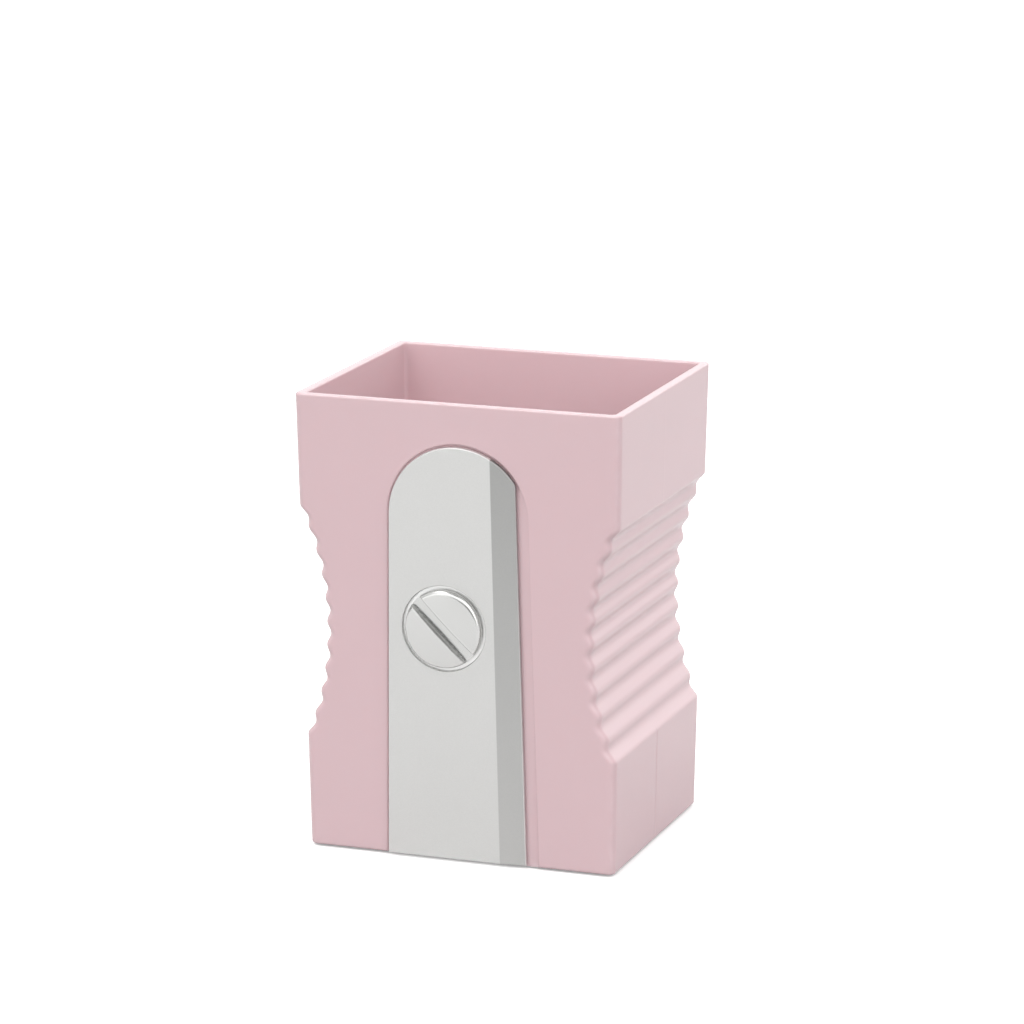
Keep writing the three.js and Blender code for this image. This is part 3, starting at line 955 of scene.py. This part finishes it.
@dataclass
class BasePlate(Part):
    """The floor of the pot, which snaps in from below with four hooks."""

    form: ShellForm
    feet: Sequence["Foot"]
    underside: float = 0.6
    thickness: float = 2.2
    corner_radius: float = 1.0
    edge_round: float = 0.25
    hook_width: float = 10.0
    hook_thickness: float = 1.3
    hook_spacing: float = 30.0
    hook_height: float = 10.4
    hook_round: float = 0.3
    hook_blend: float = 1.0  # added to half its thickness, so that its ends thin gently
    hook_drop: float = 4.0  # how much less its ends are lowered than thinned
    barb_height: float = 7.9
    barb_reach: float = 0.75
    barb_lip: float = 0.3
    pocket_depth: float = 1.0
    pocket_margin: float = 0.5
    socket_chamfer: float = 0.1

    def hook_places(self) -> list[tuple[int, float]]:
        """Gives each hook's side, 1 for the right and -1 for the left, and its middle along y."""
        return [(side, along * self.hook_spacing / 2) for side in SIDES for along in SIDES]

    def plate(self) -> Object:
        """Makes the flat plate with small round edges."""
        taken = self.form.rebate_wall + GAP
        width, depth = self.form.bottom_half_width - taken, self.form.bottom_half_depth - taken
        top = self.underside + self.thickness
        rounds = quarter(self.edge_round, 3)
        levels = [(self.underside + down, inset) for inset, down in reversed(rounds)]
        levels += [(top - down, inset) for inset, down in rounds]
        rings = []
        for z, inset in levels:
            corners = round_corners(width - inset, depth - inset, self.corner_radius - inset, z, 6)
            rings.append([p for corner in corners for p in corner])
        return to_object("pot_base", skin(rings))

    def hook(self, side: int, along: float) -> Object:
        """Makes one snap hook, with a round top and a barb that points outwards.

        Args:
            side: 1 for the right of the pot and -1 for the left.
            along: Its middle along y.

        Returns:
            The hook as a solid.
        """
        outer = self.form.bottom_half_width - self.form.wall - GAP
        foot = self.underside + self.thickness / 2
        inner, top = outer - self.hook_thickness, self.hook_height
        tip, barb, cut = outer + self.barb_reach, self.barb_height, self.hook_round
        outline = [(inner, foot), (outer, foot), (outer, barb)]
        outline += [(tip, barb), (tip, barb + self.barb_lip), (outer - self.barb_lip, top)]
        outline += [(inner + cut, top), (inner, top - cut)]
        half, middle, level = self.hook_width / 2, (inner + outer) / 2, (foot + top) / 2
        rings = []
        for y, inset in ((-half, cut), (cut - half, 0), (half - cut, 0), (half, cut)):
            thinner = 1 - inset / (self.hook_thickness / 2 + self.hook_blend)
            lower = 1 - inset / self.hook_drop
            ring = []
            for x, z in outline:
                height = z if z == foot else level + (z - level) * lower
                ring.append(Vector((side * (middle + (x - middle) * thinner), along + y, height)))
            rings.append(ring)
        return to_object("hook_tool", skin(rings))

    def wear_and_highlight_at(self, p: Vector) -> float:
        """Gives how exposed the plate's edge is at a point."""
        reach = self.form.bottom_half_width - self.form.rebate_wall - GAP - abs(p.x)
        return share_left(reach, self.edge_round)

    def shape(self, material: Material) -> Object:
        """Makes the base plate with its hooks and the sockets for the feet."""
        piece = self.plate()
        for side, along in self.hook_places():
            carve(piece, self.hook(side, along), Cut.JOIN)
        foot, cut = self.feet[0], self.socket_chamfer
        depth, r = foot.thickness - foot.lift + GAP - self.underside, foot.radius + GAP
        profile = [(0, -depth), (r, -depth), (r, depth - cut), (r - cut, depth), (0, depth)]
        for foot in self.feet:
            place = Matrix.Translation((*foot.centre, self.underside))
            carve(piece, to_object("socket_tool", lathe(profile, 64), place), Cut.REMOVE)
        return piece


@dataclass
class Foot(Part):
    """A non-slip foot under the base plate."""

    name: str
    centre: tuple[float, float]
    radius: float = 5.0
    thickness: float = 1.4
    lift: float = FOOT_LIFT
    rounding: float = 0.3
    top_chamfer: float = 0.15
    groove_radius: float = 3.2
    groove_width: float = 0.35
    groove_depth: float = 0.12
    rim_highlight: float = 0.4

    def shape(self, material: Material) -> Object:
        """Makes the foot with its round groove."""
        low, high, cut = -self.lift, self.thickness - self.lift, self.top_chamfer
        g, w, deep = self.groove_radius, self.groove_width, low + self.groove_depth
        profile = [(0, low), (g - w, low), (g - w / 2, deep), (g + w / 2, deep), (g + w, low)]
        rounds = reversed(quarter(self.rounding, 4))
        profile += [(self.radius - inset, low + down) for inset, down in rounds]
        profile += [(self.radius, high - cut), (self.radius - cut, high), (0, high)]
        return to_object(self.name, lathe(profile, 72), Matrix.Translation((*self.centre, 0)))

    def wear_and_highlight_at(self, p: Vector) -> float:
        """Gives how close a point is to the foot's outer edge."""
        return share_left(self.radius - (p.xy - Vector(self.centre)).length, self.rim_highlight)


# ------------------------------------------------------------------ blade plate


@dataclass
class BladePlate(Part):
    """The arched silver plate with a blade bevel along its right edge, with shade painted on the
    bevel darkest at its top.
    """

    form: ShellForm
    arch: ArchOutline
    side_gap: float = 0.45
    right_top: tuple[float, float] = (14.0, 87.6)
    right_foot: tuple[float, float] = (15.9, 0.25)
    bevel_top: tuple[float, float] = (8.15, 96.0)
    bevel_foot: tuple[float, float] = (9.8, 0.0)
    bevel_drop: float = 0.6
    bevel_lines: tuple[float, ...] = (-0.8, -0.4, -0.15, 0.0, 0.15, 0.4, 0.8)  # cuts by the crease
    bevel_shade_foot: float = 0.5  # how much shade is painted on the bevel at its foot, against 1 at its top
    crease: float = 0.22
    edge_round: float = 0.3
    edge_steps: int = 5
    edge_strip: float = 0.25  # width of the flat strip inside the round edge
    back_chamfer: float = 0.12
    least_step: float = 0.2  # between the edge's corner and the arc's next point
    sharpest_mitre: float = 0.3
    back_strip: float = 0.2  # of the plate's side that stays flat behind the bevel
    crease_margin: float = 0.05
    seat_radius: float = 9.85
    seat_round: float = 0.22

    def edge_at(self, z: float) -> float:
        """Gives where the straight right edge is at a height."""
        (top_x, top_z), (foot_x, foot_z) = self.right_top, self.right_foot
        return top_x + (foot_x - top_x) / (foot_z - top_z) * (z - top_z)

    def bevel_line(self, z: float) -> float:
        """Gives where the bevel starts at a height."""
        (top_x, top_z), (foot_x, foot_z) = self.bevel_top, self.bevel_foot
        return foot_x + (top_x - foot_x) / (top_z - foot_z) * (z - foot_z)

    def bevel_fall(self, x: float, z: float) -> float:
        """Gives how far the bevel lies below the flat at a point, with a soft crease."""
        beyond = x - self.bevel_line(z)
        slope = self.bevel_drop / (self.right_foot[0] - self.bevel_foot[0])
        return slope * (beyond + math.hypot(beyond, self.crease)) / 2

    def outline(self) -> list[Vector]:
        """Gives the plate's outline, anticlockwise from its left foot."""
        raw = self.arch.points(self.side_gap, self.right_foot[1])
        kept = [Vector(raw[0]), Vector((self.edge_at(raw[0][1]), raw[0][1]))]
        arc = [Vector(p) for p in raw[2:]]
        first = [p.x > self.edge_at(p.y) for p in arc].index(False)
        inside, outside = arc[first], arc[first - 1]
        over = outside.x - self.edge_at(outside.y)
        under = self.edge_at(inside.y) - inside.x
        corner = outside.lerp(inside, over / (over + under))
        return [*kept, corner, *(p for p in arc[first:] if (p - corner).length > self.least_step)]

    def taken_in(self, outline: list[Vector], margin: float) -> list[Vector]:
        """Moves an outline inwards along its mitres.

        Args:
            outline: The outline, anticlockwise.
            margin: How far its straight parts move.

        Returns:
            The new outline, with as many points.
        """
        made = []
        for i, p in enumerate(outline):
            before = (p - outline[i - 1]).normalized()
            after = (outline[(i + 1) % len(outline)] - p).normalized()
            first, second = Vector((-before.y, before.x)), Vector((-after.y, after.x))
            mitre = (first + second).normalized()
            made.append(p + mitre * (margin / max(self.sharpest_mitre, mitre.dot(first))))
        return made

    def slab(self) -> Object:
        """Makes the plate with its round edge and its bevel, without the screw's seat."""
        outline, cut = self.outline(), self.back_chamfer
        back, front = self.form.recess_depth - GAP, -self.form.plate_proud
        levels = [(cut, back), (0.0, back - cut)]
        rounds = quarter(self.edge_round, self.edge_steps)
        levels += [(inset, front + down) for inset, down in rounds]
        levels.append((self.edge_round + self.edge_strip, front))
        rings = [
            [Vector((p.x, depth, p.y)) for p in self.taken_in(outline, margin)]
            for margin, depth in levels
        ]
        bm = skin(rings)
        (top_x, top_z), (foot_x, foot_z) = self.bevel_top, self.bevel_foot
        along = Vector((top_x - foot_x, 0, top_z - foot_z)).normalized()
        across = along.cross(Vector((0, 1, 0)))
        for shift in self.bevel_lines:
            slice_mesh(bm, Vector((foot_x + shift, 0, foot_z)), across)
        limit = back - self.back_strip
        for v in bm.verts:
            if v.co.y < limit:
                v.co.y += self.bevel_fall(v.co.x, v.co.z)
        bmesh.ops.recalc_face_normals(bm, faces=bm.faces)
        return to_object("blade_cover", bm, self.form.face)

    def seat_tool(self) -> Object:
        """Makes the solid that cuts the round seat, with a round mouth, and the hole."""
        proud, hole, cut = self.form.plate_proud, self.form.hole_radius, self.back_chamfer
        wide = self.seat_radius + self.seat_round + LEAD
        rounds = reversed(quarter(self.seat_round, 4)[:-1])
        profile = [(0, PAST), (wide, PAST), (wide, proud + 0.2 * LEAD)]
        profile += [(self.seat_radius + inset, proud - down) for inset, down in rounds]
        profile += [(self.seat_radius, cut), (self.seat_radius - cut, 0.0)]
        profile += [(hole, 0.0), (hole, -PAST), (0, -PAST)]
        return to_object("seat_tool", lathe(profile, 128), self.form.screw_frame())

    def wear_and_highlight_at(self, p: Vector) -> float:
        """Gives where the plate's edges take a painted highlight: its outer edge all round, and its
        bevel's edge most towards the foot.
        """
        q = self.form.face.inverted() @ p
        if q.x > self.bevel_line(q.z):
            near = share_left(self.edge_at(q.z) - q.x, self.edge_round)
            return min(1.0, near * share_left(q.z, self.bevel_top[1]))
        level = -self.form.plate_proud + self.bevel_fall(q.x, q.z)
        return min(1.0, max(0.0, (q.y - level) / self.edge_round))

    def bevel_shade_at(self, p: Vector) -> float:
        """Gives how much shade is painted at a point: 0 on the flat, most at the bevel's top."""
        q = self.form.face.inverted() @ p
        if q.x < self.bevel_line(q.z) + self.crease_margin:
            return 0.0
        up = min(1.0, max(0.0, q.z / self.bevel_top[1]))
        return self.bevel_shade_foot + (1 - self.bevel_shade_foot) * up

    def marks(self) -> Marks:
        """Gives what the piece's attributes are at a point."""
        # The second attribute carries the shade painted on the bevel.
        return {EDGE_ATTRIBUTE: self.wear_and_highlight_at, PAINTED_SHADE_ATTRIBUTE: self.bevel_shade_at}

    def shape(self, material: Material) -> Object:
        """Makes the plate with the screw's seat and hole."""
        piece = self.slab()
        carve(piece, self.seat_tool(), Cut.REMOVE)
        return piece


# ------------------------------------------------------------------ screw and clip


@dataclass
class SlottedScrew(Part):
    """The slotted screw in the middle of the plate, with its grooved shank."""

    form: ShellForm
    head_radius: float = 8.98
    shoulder: float = 0.15
    rim_radius: float = 1.05
    rim_arc: float = math.radians(80)
    crown: float = 0.5
    slot_width: float = 2.9
    slot_depth: float = 1.7
    slot_angle: float = -44.5
    slot_edge: float = 0.22
    slot_fillet: float = 0.12
    wall_lean: float = 0.03
    inner_rows: int = 16
    inner_reach: float = 2.6  # how many rim radii inside the head's side these rows end
    outer_rows: tuple[float, ...] = (1.2, 0.7, 0.3, 0.0)  # inside the rim's centre
    rim_turns: tuple[int, ...] = (9, 18, 27, 36, 45, 54, 62, 70, 78, 84, 90)
    brink_line: float = 0.12  # width of the painted dark line on the slot's brink
    corner_shade_reach: float = 0.45  # of the shade painted in the slot's corners, from the slot's wall
    face_depth: float = 0.3  # below the dome, what still counts as its face
    slot_rest: float = 0.4  # below the plate's flat, what still counts as the slot
    rim_highlight: tuple[float, float] = (0.5, 0.6)  # the painted highlight line's middle from the side, its width
    slot_highlight: tuple[float, float] = (0.3, 0.25)  # the same for the painted highlight line beside the slot's wall
    shank_radius: float = 2.5
    shank_tail: float = 4.8
    shank_chamfer: float = 0.5
    chamfer: float = 0.12
    groove_radius: float = 1.9
    clip_thickness: float = 1.0
    groove_clearance: float = 0.2
    segments: int = 144

    @property
    def base(self) -> float:
        """Height of the round rim's foot above the front face."""
        return self.form.plate_proud + self.shoulder

    @property
    def top(self) -> float:
        """Height of the dome's middle above the front face."""
        return self.base + self.rim_radius * math.sin(self.rim_arc) + self.crown

    def dome(self, r: float) -> float:
        """Gives the height of the unslotted head at a radius."""
        centre = self.head_radius - self.rim_radius
        edge = centre + self.rim_radius * math.cos(self.rim_arc)
        if r > edge:
            return self.base + math.sqrt(max(0.0, self.rim_radius**2 - (r - centre) ** 2))
        return self.top - self.crown * (r / edge) ** 2

    def face_height(self, across: float, r: float) -> float:
        """Gives the head's height at a point, with the slot cut in.

        Args:
            across: Distance from the slot's middle line.
            r: Distance from the screw's axis.

        Returns:
            Height above the front face.
        """
        half, edge, fillet = self.slot_width / 2, self.slot_edge, self.slot_fillet
        high, floor = self.dome(r), self.top - self.slot_depth
        if across >= half + edge:
            return high
        if across >= half - 1e-4:
            part = (half + edge - across) / edge
            fall = edge * (1 - math.sqrt(max(0.0, 1 - part * part)))
            return max(floor + 2e-3, high - fall)
        foot = half - self.wall_lean - fillet
        if across <= foot:
            return floor
        part = min(1.0, (across - foot) / fillet)
        return min(floor + fillet * (1 - math.sqrt(max(0.0, 1 - part * part))), high)

    def head(self) -> Mesh:
        """Makes the open upper face of the head, with u along the slot and v across it."""
        bm = bmesh.new()
        centre = bm.verts.new((0, 0, 0))
        edge = self.head_radius - self.rim_radius
        reach = self.head_radius - self.inner_reach * self.rim_radius
        radii = spread(0.0, reach, self.inner_rows)[1:]
        radii += [edge - inside for inside in self.outer_rows]
        radii += [edge + self.rim_radius * math.sin(math.radians(a)) for a in self.rim_turns]
        turns = [2 * math.pi * (i + 0.5) / self.segments for i in range(self.segments)]
        rows = [[bm.verts.new(polar(r, a)) for a in turns] for r in radii]
        for i in range(self.segments):
            j = (i + 1) % self.segments
            bm.faces.new((centre, rows[0][i], rows[0][j]))
            for inner, outer in zip(rows, rows[1:]):
                bm.faces.new((inner[i], outer[i], outer[j], inner[j]))
        half, foot = self.slot_width / 2, self.slot_width / 2 - self.wall_lean
        brink, fillet = self.slot_edge, -self.slot_fillet
        offsets = [half + brink * (1 - math.cos(math.radians(a))) for a in (0, 30, 50, 70, 90)]
        offsets += [foot + fillet * (1 - math.cos(math.radians(a))) for a in (0, 45, 90)]
        for v in [side * offset for offset in offsets for side in SIDES]:
            slice_mesh(bm, Vector((0, v, 0)), Vector((0, 1, 0)), 1e-6)
        for v in bm.verts:
            v.co.z = self.face_height(abs(v.co.y), v.co.xy.length)
        return bm

    def shank_profile(self) -> Pairs:
        """Gives radius and height pairs from the head's side to the shank's tail."""
        r, g, soft, tail = self.shank_radius, self.groove_radius, self.chamfer, -self.shank_tail
        front = -self.form.clip_front + self.groove_clearance
        back = -self.form.clip_front - self.clip_thickness - self.groove_clearance
        head = [(self.head_radius, GAP + soft), (self.head_radius - soft, GAP)]
        neck = [(r + soft, GAP), (r, GAP - soft), (r, front + soft), (r - soft, front)]
        groove = [(g, front), (g, back), (r - soft, back), (r, back - soft)]
        end = [(r, tail + self.shank_chamfer), (r - self.shank_chamfer, tail)]
        return head + neck + groove + end

    def marks(self) -> Marks:
        """Gives what the piece's attributes are at a point."""
        # The second attribute carries the shade painted in the slot.
        return {EDGE_ATTRIBUTE: self.wear_and_highlight_at, PAINTED_SHADE_ATTRIBUTE: self.slot_shade_at}

    def shape(self, material: Material) -> Object:
        """Makes the screw from its head down to its tail."""
        bm = self.head()
        row = [v for v in bm.verts if any(e.is_boundary for e in v.link_edges)]
        row.sort(key=lambda v: math.atan2(v.co.y, v.co.x))
        for radius, height in self.shank_profile():
            fresh = [bm.verts.new((*(v.co.xy.normalized() * radius), height)) for v in row]
            join_rows(bm, row, fresh)
            row = fresh
        bm.faces.new(row)
        bmesh.ops.recalc_face_normals(bm, faces=bm.faces)
        return to_object("slotted_screw", bm, self.frame())

    def frame(self) -> Matrix:
        """Gives the screw's own frame: x along the slot and z outwards."""
        return self.form.screw_frame(self.slot_angle)

    def slot_shade_at(self, p: Vector) -> float:
        """Gives how much shade is painted at a point: in the slot's two corners and a dark line on
        its brink.
        """
        q = self.frame().inverted() @ p
        half = self.slot_width / 2
        if q.z > self.dome(q.xy.length) - self.face_depth:
            beyond = abs(q.y) - half
            line = max(0.0, (self.slot_edge - beyond) / self.brink_line)
            return min(1.0, line) if beyond > -0.01 else 0.0
        inside = abs(q.y) < half + 0.01 and q.z > self.form.plate_proud - self.slot_rest
        return share_left(half - abs(q.y), self.corner_shade_reach) if inside else 0.0

    def wear_and_highlight_at(self, p: Vector) -> float:
        """Gives where the head takes a painted highlight: a line inside its rim and one beside each
        edge of the slot.
        """
        q = self.frame().inverted() @ p
        if q.z < self.form.plate_proud:
            return 0.0
        (rim_place, rim_width), (slot_place, slot_width) = self.rim_highlight, self.slot_highlight
        rim = share_left(abs(q.xy.length - self.head_radius + rim_place), rim_width)
        slot = share_left(abs(abs(q.y) - self.slot_width / 2 - slot_place), slot_width)
        return max(0.5 * rim, slot)


def make_repeat_tree() -> Tree:
    """Makes the tree that repeats one sector of a turned piece about its axis.

    Returns:
        A Geometry Nodes tree with named inputs.
    """
    inputs = [Socket("Count", 6, "NodeSocketInt"), Socket("Weld Distance", 0.001)]
    w, given, close = open_tree("repeat_about_axis", inputs)
    line = {"Count": given["Count"], "Offset": (0.0, 0.0, 0.0)}
    spots = w.add("GeometryNodeMeshLine", line).outputs[0]
    step = w.math("DIVIDE", 2 * math.pi, given["Count"])
    turn = w.math("MULTIPLY", w.add("GeometryNodeInputIndex").outputs[0], step)
    angle = w.add("ShaderNodeCombineXYZ", {"Z": turn}).outputs[0]
    spread_out = {"Points": spots, "Instance": given["Geometry"], "Rotation": angle}
    copies = w.add("GeometryNodeInstanceOnPoints", spread_out).outputs[0]
    real = w.add("GeometryNodeRealizeInstances", {"Geometry": copies}).outputs[0]
    weld = {"Geometry": real, "Distance": given["Weld Distance"]}
    close(w.add("GeometryNodeMergeByDistance", weld).outputs[0])
    return w.tree


@dataclass
class PushOnClip(Part):
    """The dished spring clip with prongs that holds the screw from inside the pot."""

    form: ShellForm
    bore: float = 2.2
    radius: float = 5.5
    thickness: float = 0.5
    dish: float = 0.5
    prongs: int = 6
    slit_width: float = 0.7
    slit_reach: float = 3.9
    columns: int = 10
    strip: float = 0.12  # width of the narrow rows along its two edges
    tip: float = 0.4  # length of the prongs' finer tips
    worn_edge: float = 0.3

    def sector(self) -> Mesh:
        """Makes one prong with its share of the outer ring, open where the next one joins."""
        bm = bmesh.new()
        half = math.pi / self.prongs
        inner = [self.bore, self.bore + self.strip]
        inner += spread(self.bore + self.tip, self.slit_reach, 4)
        outer = [*spread(self.slit_reach, self.radius - self.strip, 4)[1:], self.radius]
        narrow = [half - math.asin(self.slit_width / 2 / r) for r in inner]

        def row(r: float, angles: Sequence[float]) -> list[bmesh.types.BMVert]:
            """Makes one row of points at a radius."""
            return [bm.verts.new(polar(r, a)) for a in angles]

        def bridge(rows: list[list[bmesh.types.BMVert]]) -> None:
            """Fills the faces between rows that follow each other outwards."""
            for low, high in zip(rows, rows[1:]):
                for i in range(len(low) - 1):
                    bm.faces.new((low[i], high[i], high[i + 1], low[i + 1]))

        prong = [row(r, spread(-reach, reach, self.columns)) for r, reach in zip(inner, narrow)]
        bridge(prong)
        first, last = row(self.slit_reach, (-half, half))
        angles = [-half, *spread(-narrow[-1], narrow[-1], self.columns), half]
        bridge([[first, *prong[-1], last], *(row(r, angles) for r in outer)])
        made = bmesh.ops.extrude_face_region(bm, geom=list(bm.faces), use_keep_orig=True)
        moved = {v for v in made["geom"] if isinstance(v, bmesh.types.BMVert)}
        for v in bm.verts:
            lean = self.dish * (1 - (v.co.xy.length - self.bore) / (self.radius - self.bore))
            v.co.z = -self.form.clip_front - lean - (self.thickness if v in moved else 0.0)
        joins = [
            f
            for f in bm.faces
            if all(abs(abs(math.atan2(v.co.y, v.co.x)) - half) < 1e-5 for v in f.verts)
        ]
        bmesh.ops.delete(bm, geom=joins, context="FACES")
        return bm

    def wear_and_highlight_at(self, p: Vector) -> float:
        """Gives how exposed the clip is at a point: its outer edge and its prongs' tips."""
        r = (self.form.screw_frame().inverted() @ p).xy.length
        return share_left(min(self.radius - r, r - self.bore), self.worn_edge)

    def shape(self, material: Material) -> Object:
        """Makes the clip from its repeated sector."""
        whole = add_object("clip_sector", self.sector())
        run_tree(whole, make_repeat_tree(), {"Count": self.prongs, "Material": material})
        bm = bmesh.new()
        bm.from_mesh(whole.data)
        bmesh.ops.recalc_face_normals(bm, faces=bm.faces)
        bpy.data.objects.remove(whole)
        return to_object("screw_retainer", bm, self.form.screw_frame())


# ------------------------------------------------------------------ studio


@dataclass(frozen=True)
class SkyPatch:
    """A soft bright part of the studio's surroundings, with its angles in degrees."""

    turn: float  # from the front, positive towards the object's right
    height: float  # above the floor
    strength: float
    inner: float  # from its middle to where it starts to fade
    outer: float  # from its middle to where it has gone

    @property
    def aim(self) -> Vector:
        """Direction of its middle."""
        turn, height = math.radians(self.turn), math.radians(self.height)
        level = math.cos(height)
        return Vector((math.sin(turn) * level, -math.cos(turn) * level, math.sin(height)))


@dataclass
class Studio:
    """The floor, the soft light all round and the camera."""

    camera_place: tuple[float, float, float] = (0.3467, -0.9554, 0.3126)
    camera_aim: tuple[float, float, float] = (-0.3308, 0.9157, -0.2284)
    lens: float = 161.46
    floor_half: float = 30.0
    floor_pale: float = 0.93
    floor_bounce: float = 0.38  # of the light that the floor sends back at the object
    floor_glow: float = 0.3  # how much paler the floor looks to the camera
    backdrop: float = 1.0  # how bright the surroundings look to the camera
    world_strength: float = 0.28
    patches: tuple[SkyPatch, ...] = (
        SkyPatch(-32.0, 6.0, 1.5, 6.0, 26.0),
        SkyPatch(62.0, 6.0, 1.4, 6.0, 28.0),
        SkyPatch(155.0, 8.0, 1.5, 8.0, 34.0),
        SkyPatch(-160.0, 8.0, 0.9, 8.0, 34.0),
        SkyPatch(-10.0, 44.0, 1.6, 8.0, 36.0),
        SkyPatch(54.0, 40.0, 2.0, 8.0, 34.0),
        SkyPatch(135.0, 38.0, 0.5, 8.0, 36.0),
        SkyPatch(180.0, 38.0, 0.8, 8.0, 36.0),
        SkyPatch(-135.0, 38.0, 0.5, 8.0, 36.0),
        SkyPatch(-80.0, 38.0, 0.8, 8.0, 36.0),
        SkyPatch(-56.0, 64.0, 5.0, 7.0, 14.0),
    )

    def floor(self) -> Object:
        """Makes the plain pale floor."""
        bm = bmesh.new()
        bmesh.ops.create_grid(bm, x_segments=4, y_segments=4, size=self.floor_half)
        made = add_object("floor", bm)
        pale = bpy.data.materials.new("pale_floor")
        pale.use_nodes = True
        w = Wiring(pale.node_tree)
        paths = w.add("ShaderNodeLightPath").outputs
        seen, bounced = (*[self.floor_pale] * 3, 1.0), (*[self.floor_bounce] * 3, 1.0)
        looks = {
            "Base Color": w.mix(paths["Is Diffuse Ray"], seen, bounced),
            "Emission Strength": w.math("MULTIPLY", paths["Is Camera Ray"], self.floor_glow),
            "Emission Color": (1.0, 1.0, 1.0, 1.0),
            "Roughness": 0.9,
            "Specular IOR Level": 0.0,
        }
        for name, value in looks.items():
            w.feed(pale.node_tree.nodes["Principled BSDF"].inputs[name], value)
        made.data.materials.append(pale)
        return made

    def sky(self) -> bpy.types.World:
        """Makes the soft light all round, from its even part and its patches."""
        world = bpy.data.worlds.new("studio")
        world.use_nodes = True
        w = Wiring(world.node_tree)
        way = w.add("ShaderNodeTexCoord").outputs["Generated"]
        total: object = self.world_strength
        for patch in self.patches:
            near = w.add("ShaderNodeVectorMath", {0: way, 1: patch.aim}, operation="DOT_PRODUCT")
            fade = {
                "Value": near.outputs["Value"],
                "From Min": math.cos(math.radians(patch.outer)),
                "From Max": math.cos(math.radians(patch.inner)),
                "To Min": 0.0,
                "To Max": patch.strength,
            }
            light = w.add("ShaderNodeMapRange", fade, interpolation_type="SMOOTHSTEP")
            total = w.math("ADD", light.outputs["Result"], total)
        background = world.node_tree.nodes["Background"].inputs
        seen = w.add("ShaderNodeLightPath").outputs["Is Camera Ray"]
        more = w.math("SUBTRACT", self.backdrop, total)
        w.feed(background["Color"], (1.0, 1.0, 1.0, 1.0))
        w.feed(background["Strength"], w.math("MULTIPLY_ADD", more, seen, total))
        return world

    def build(self) -> None:
        """Adds the floor, the light and the camera to the scene."""
        scene = bpy.context.scene
        self.floor()
        scene.world = self.sky()
        lens = bpy.data.cameras.new("camera")
        lens.lens = self.lens
        lens.sensor_width = 36.0
        lens.clip_start, lens.clip_end = 0.01, 100.0
        made = bpy.data.objects.new("camera", lens)
        made.location = self.camera_place
        made.rotation_euler = Vector(self.camera_aim).to_track_quat("-Z", "Y").to_euler()
        scene.collection.objects.link(made)
        scene.camera = made
        scene.view_settings.view_transform = "Standard"


# ------------------------------------------------------------------ assembly


def settle(piece: Object, body: Body, node: str) -> None:
    """Puts a finished piece on its body, in place of a CAD node.

    Args:
        piece: The piece.
        body: The body that it moves with.
        node: The CAD node that it stands for.
    """
    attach(piece, body.value)
    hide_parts(node)
    LOG.info("%s: %d faces on body %s", piece.name, len(piece.data.polygons), body.value)


def main() -> None:
    logging.basicConfig(level=logging.INFO, format="%(name)s %(message)s")
    groups = make_fine_grain(), make_edge_wear_and_highlight_group()
    form, arch = ShellForm(), ArchOutline()
    corners = [(f"{ends}_{side}", (x, y)) for ends, y in FOOT_ROWS for side, x in FOOT_COLUMNS]
    feet = [Foot(f"pad_{corner}", centre) for corner, centre in corners]
    base, blade = BasePlate(form, feet), BladePlate(form, arch)
    shell, screw, clip = BodyShell(form, arch, base, blade), SlottedScrew(form), PushOnClip(form)
    parts = [
        (shell, PINK_PLASTIC, Body.POT, "body_shell", "pink_plastic"),
        (base, BASE_PLASTIC, Body.POT, "base_plate", "base_plastic"),
        (blade, SATIN_SILVER, Body.POT, "blade_plate", "satin_silver"),
        (screw, BRIGHT_SILVER, Body.SCREW, "blade_screw", "bright_silver"),
        (clip, SPRING_STEEL, Body.SCREW, "screw_clip", "spring_steel"),
    ]
    for part, finish, body, node, slot in parts:
        settle(part.build(finish.material(*groups)), body, node)
    rubber = FOOT_RUBBER.material(*groups)
    for foot, (corner, _) in zip(feet, corners):
        settle(foot.build(rubber), Body.POT, f"foot_{corner}")
    Studio().build()


if __name__ == "__main__":
    main()
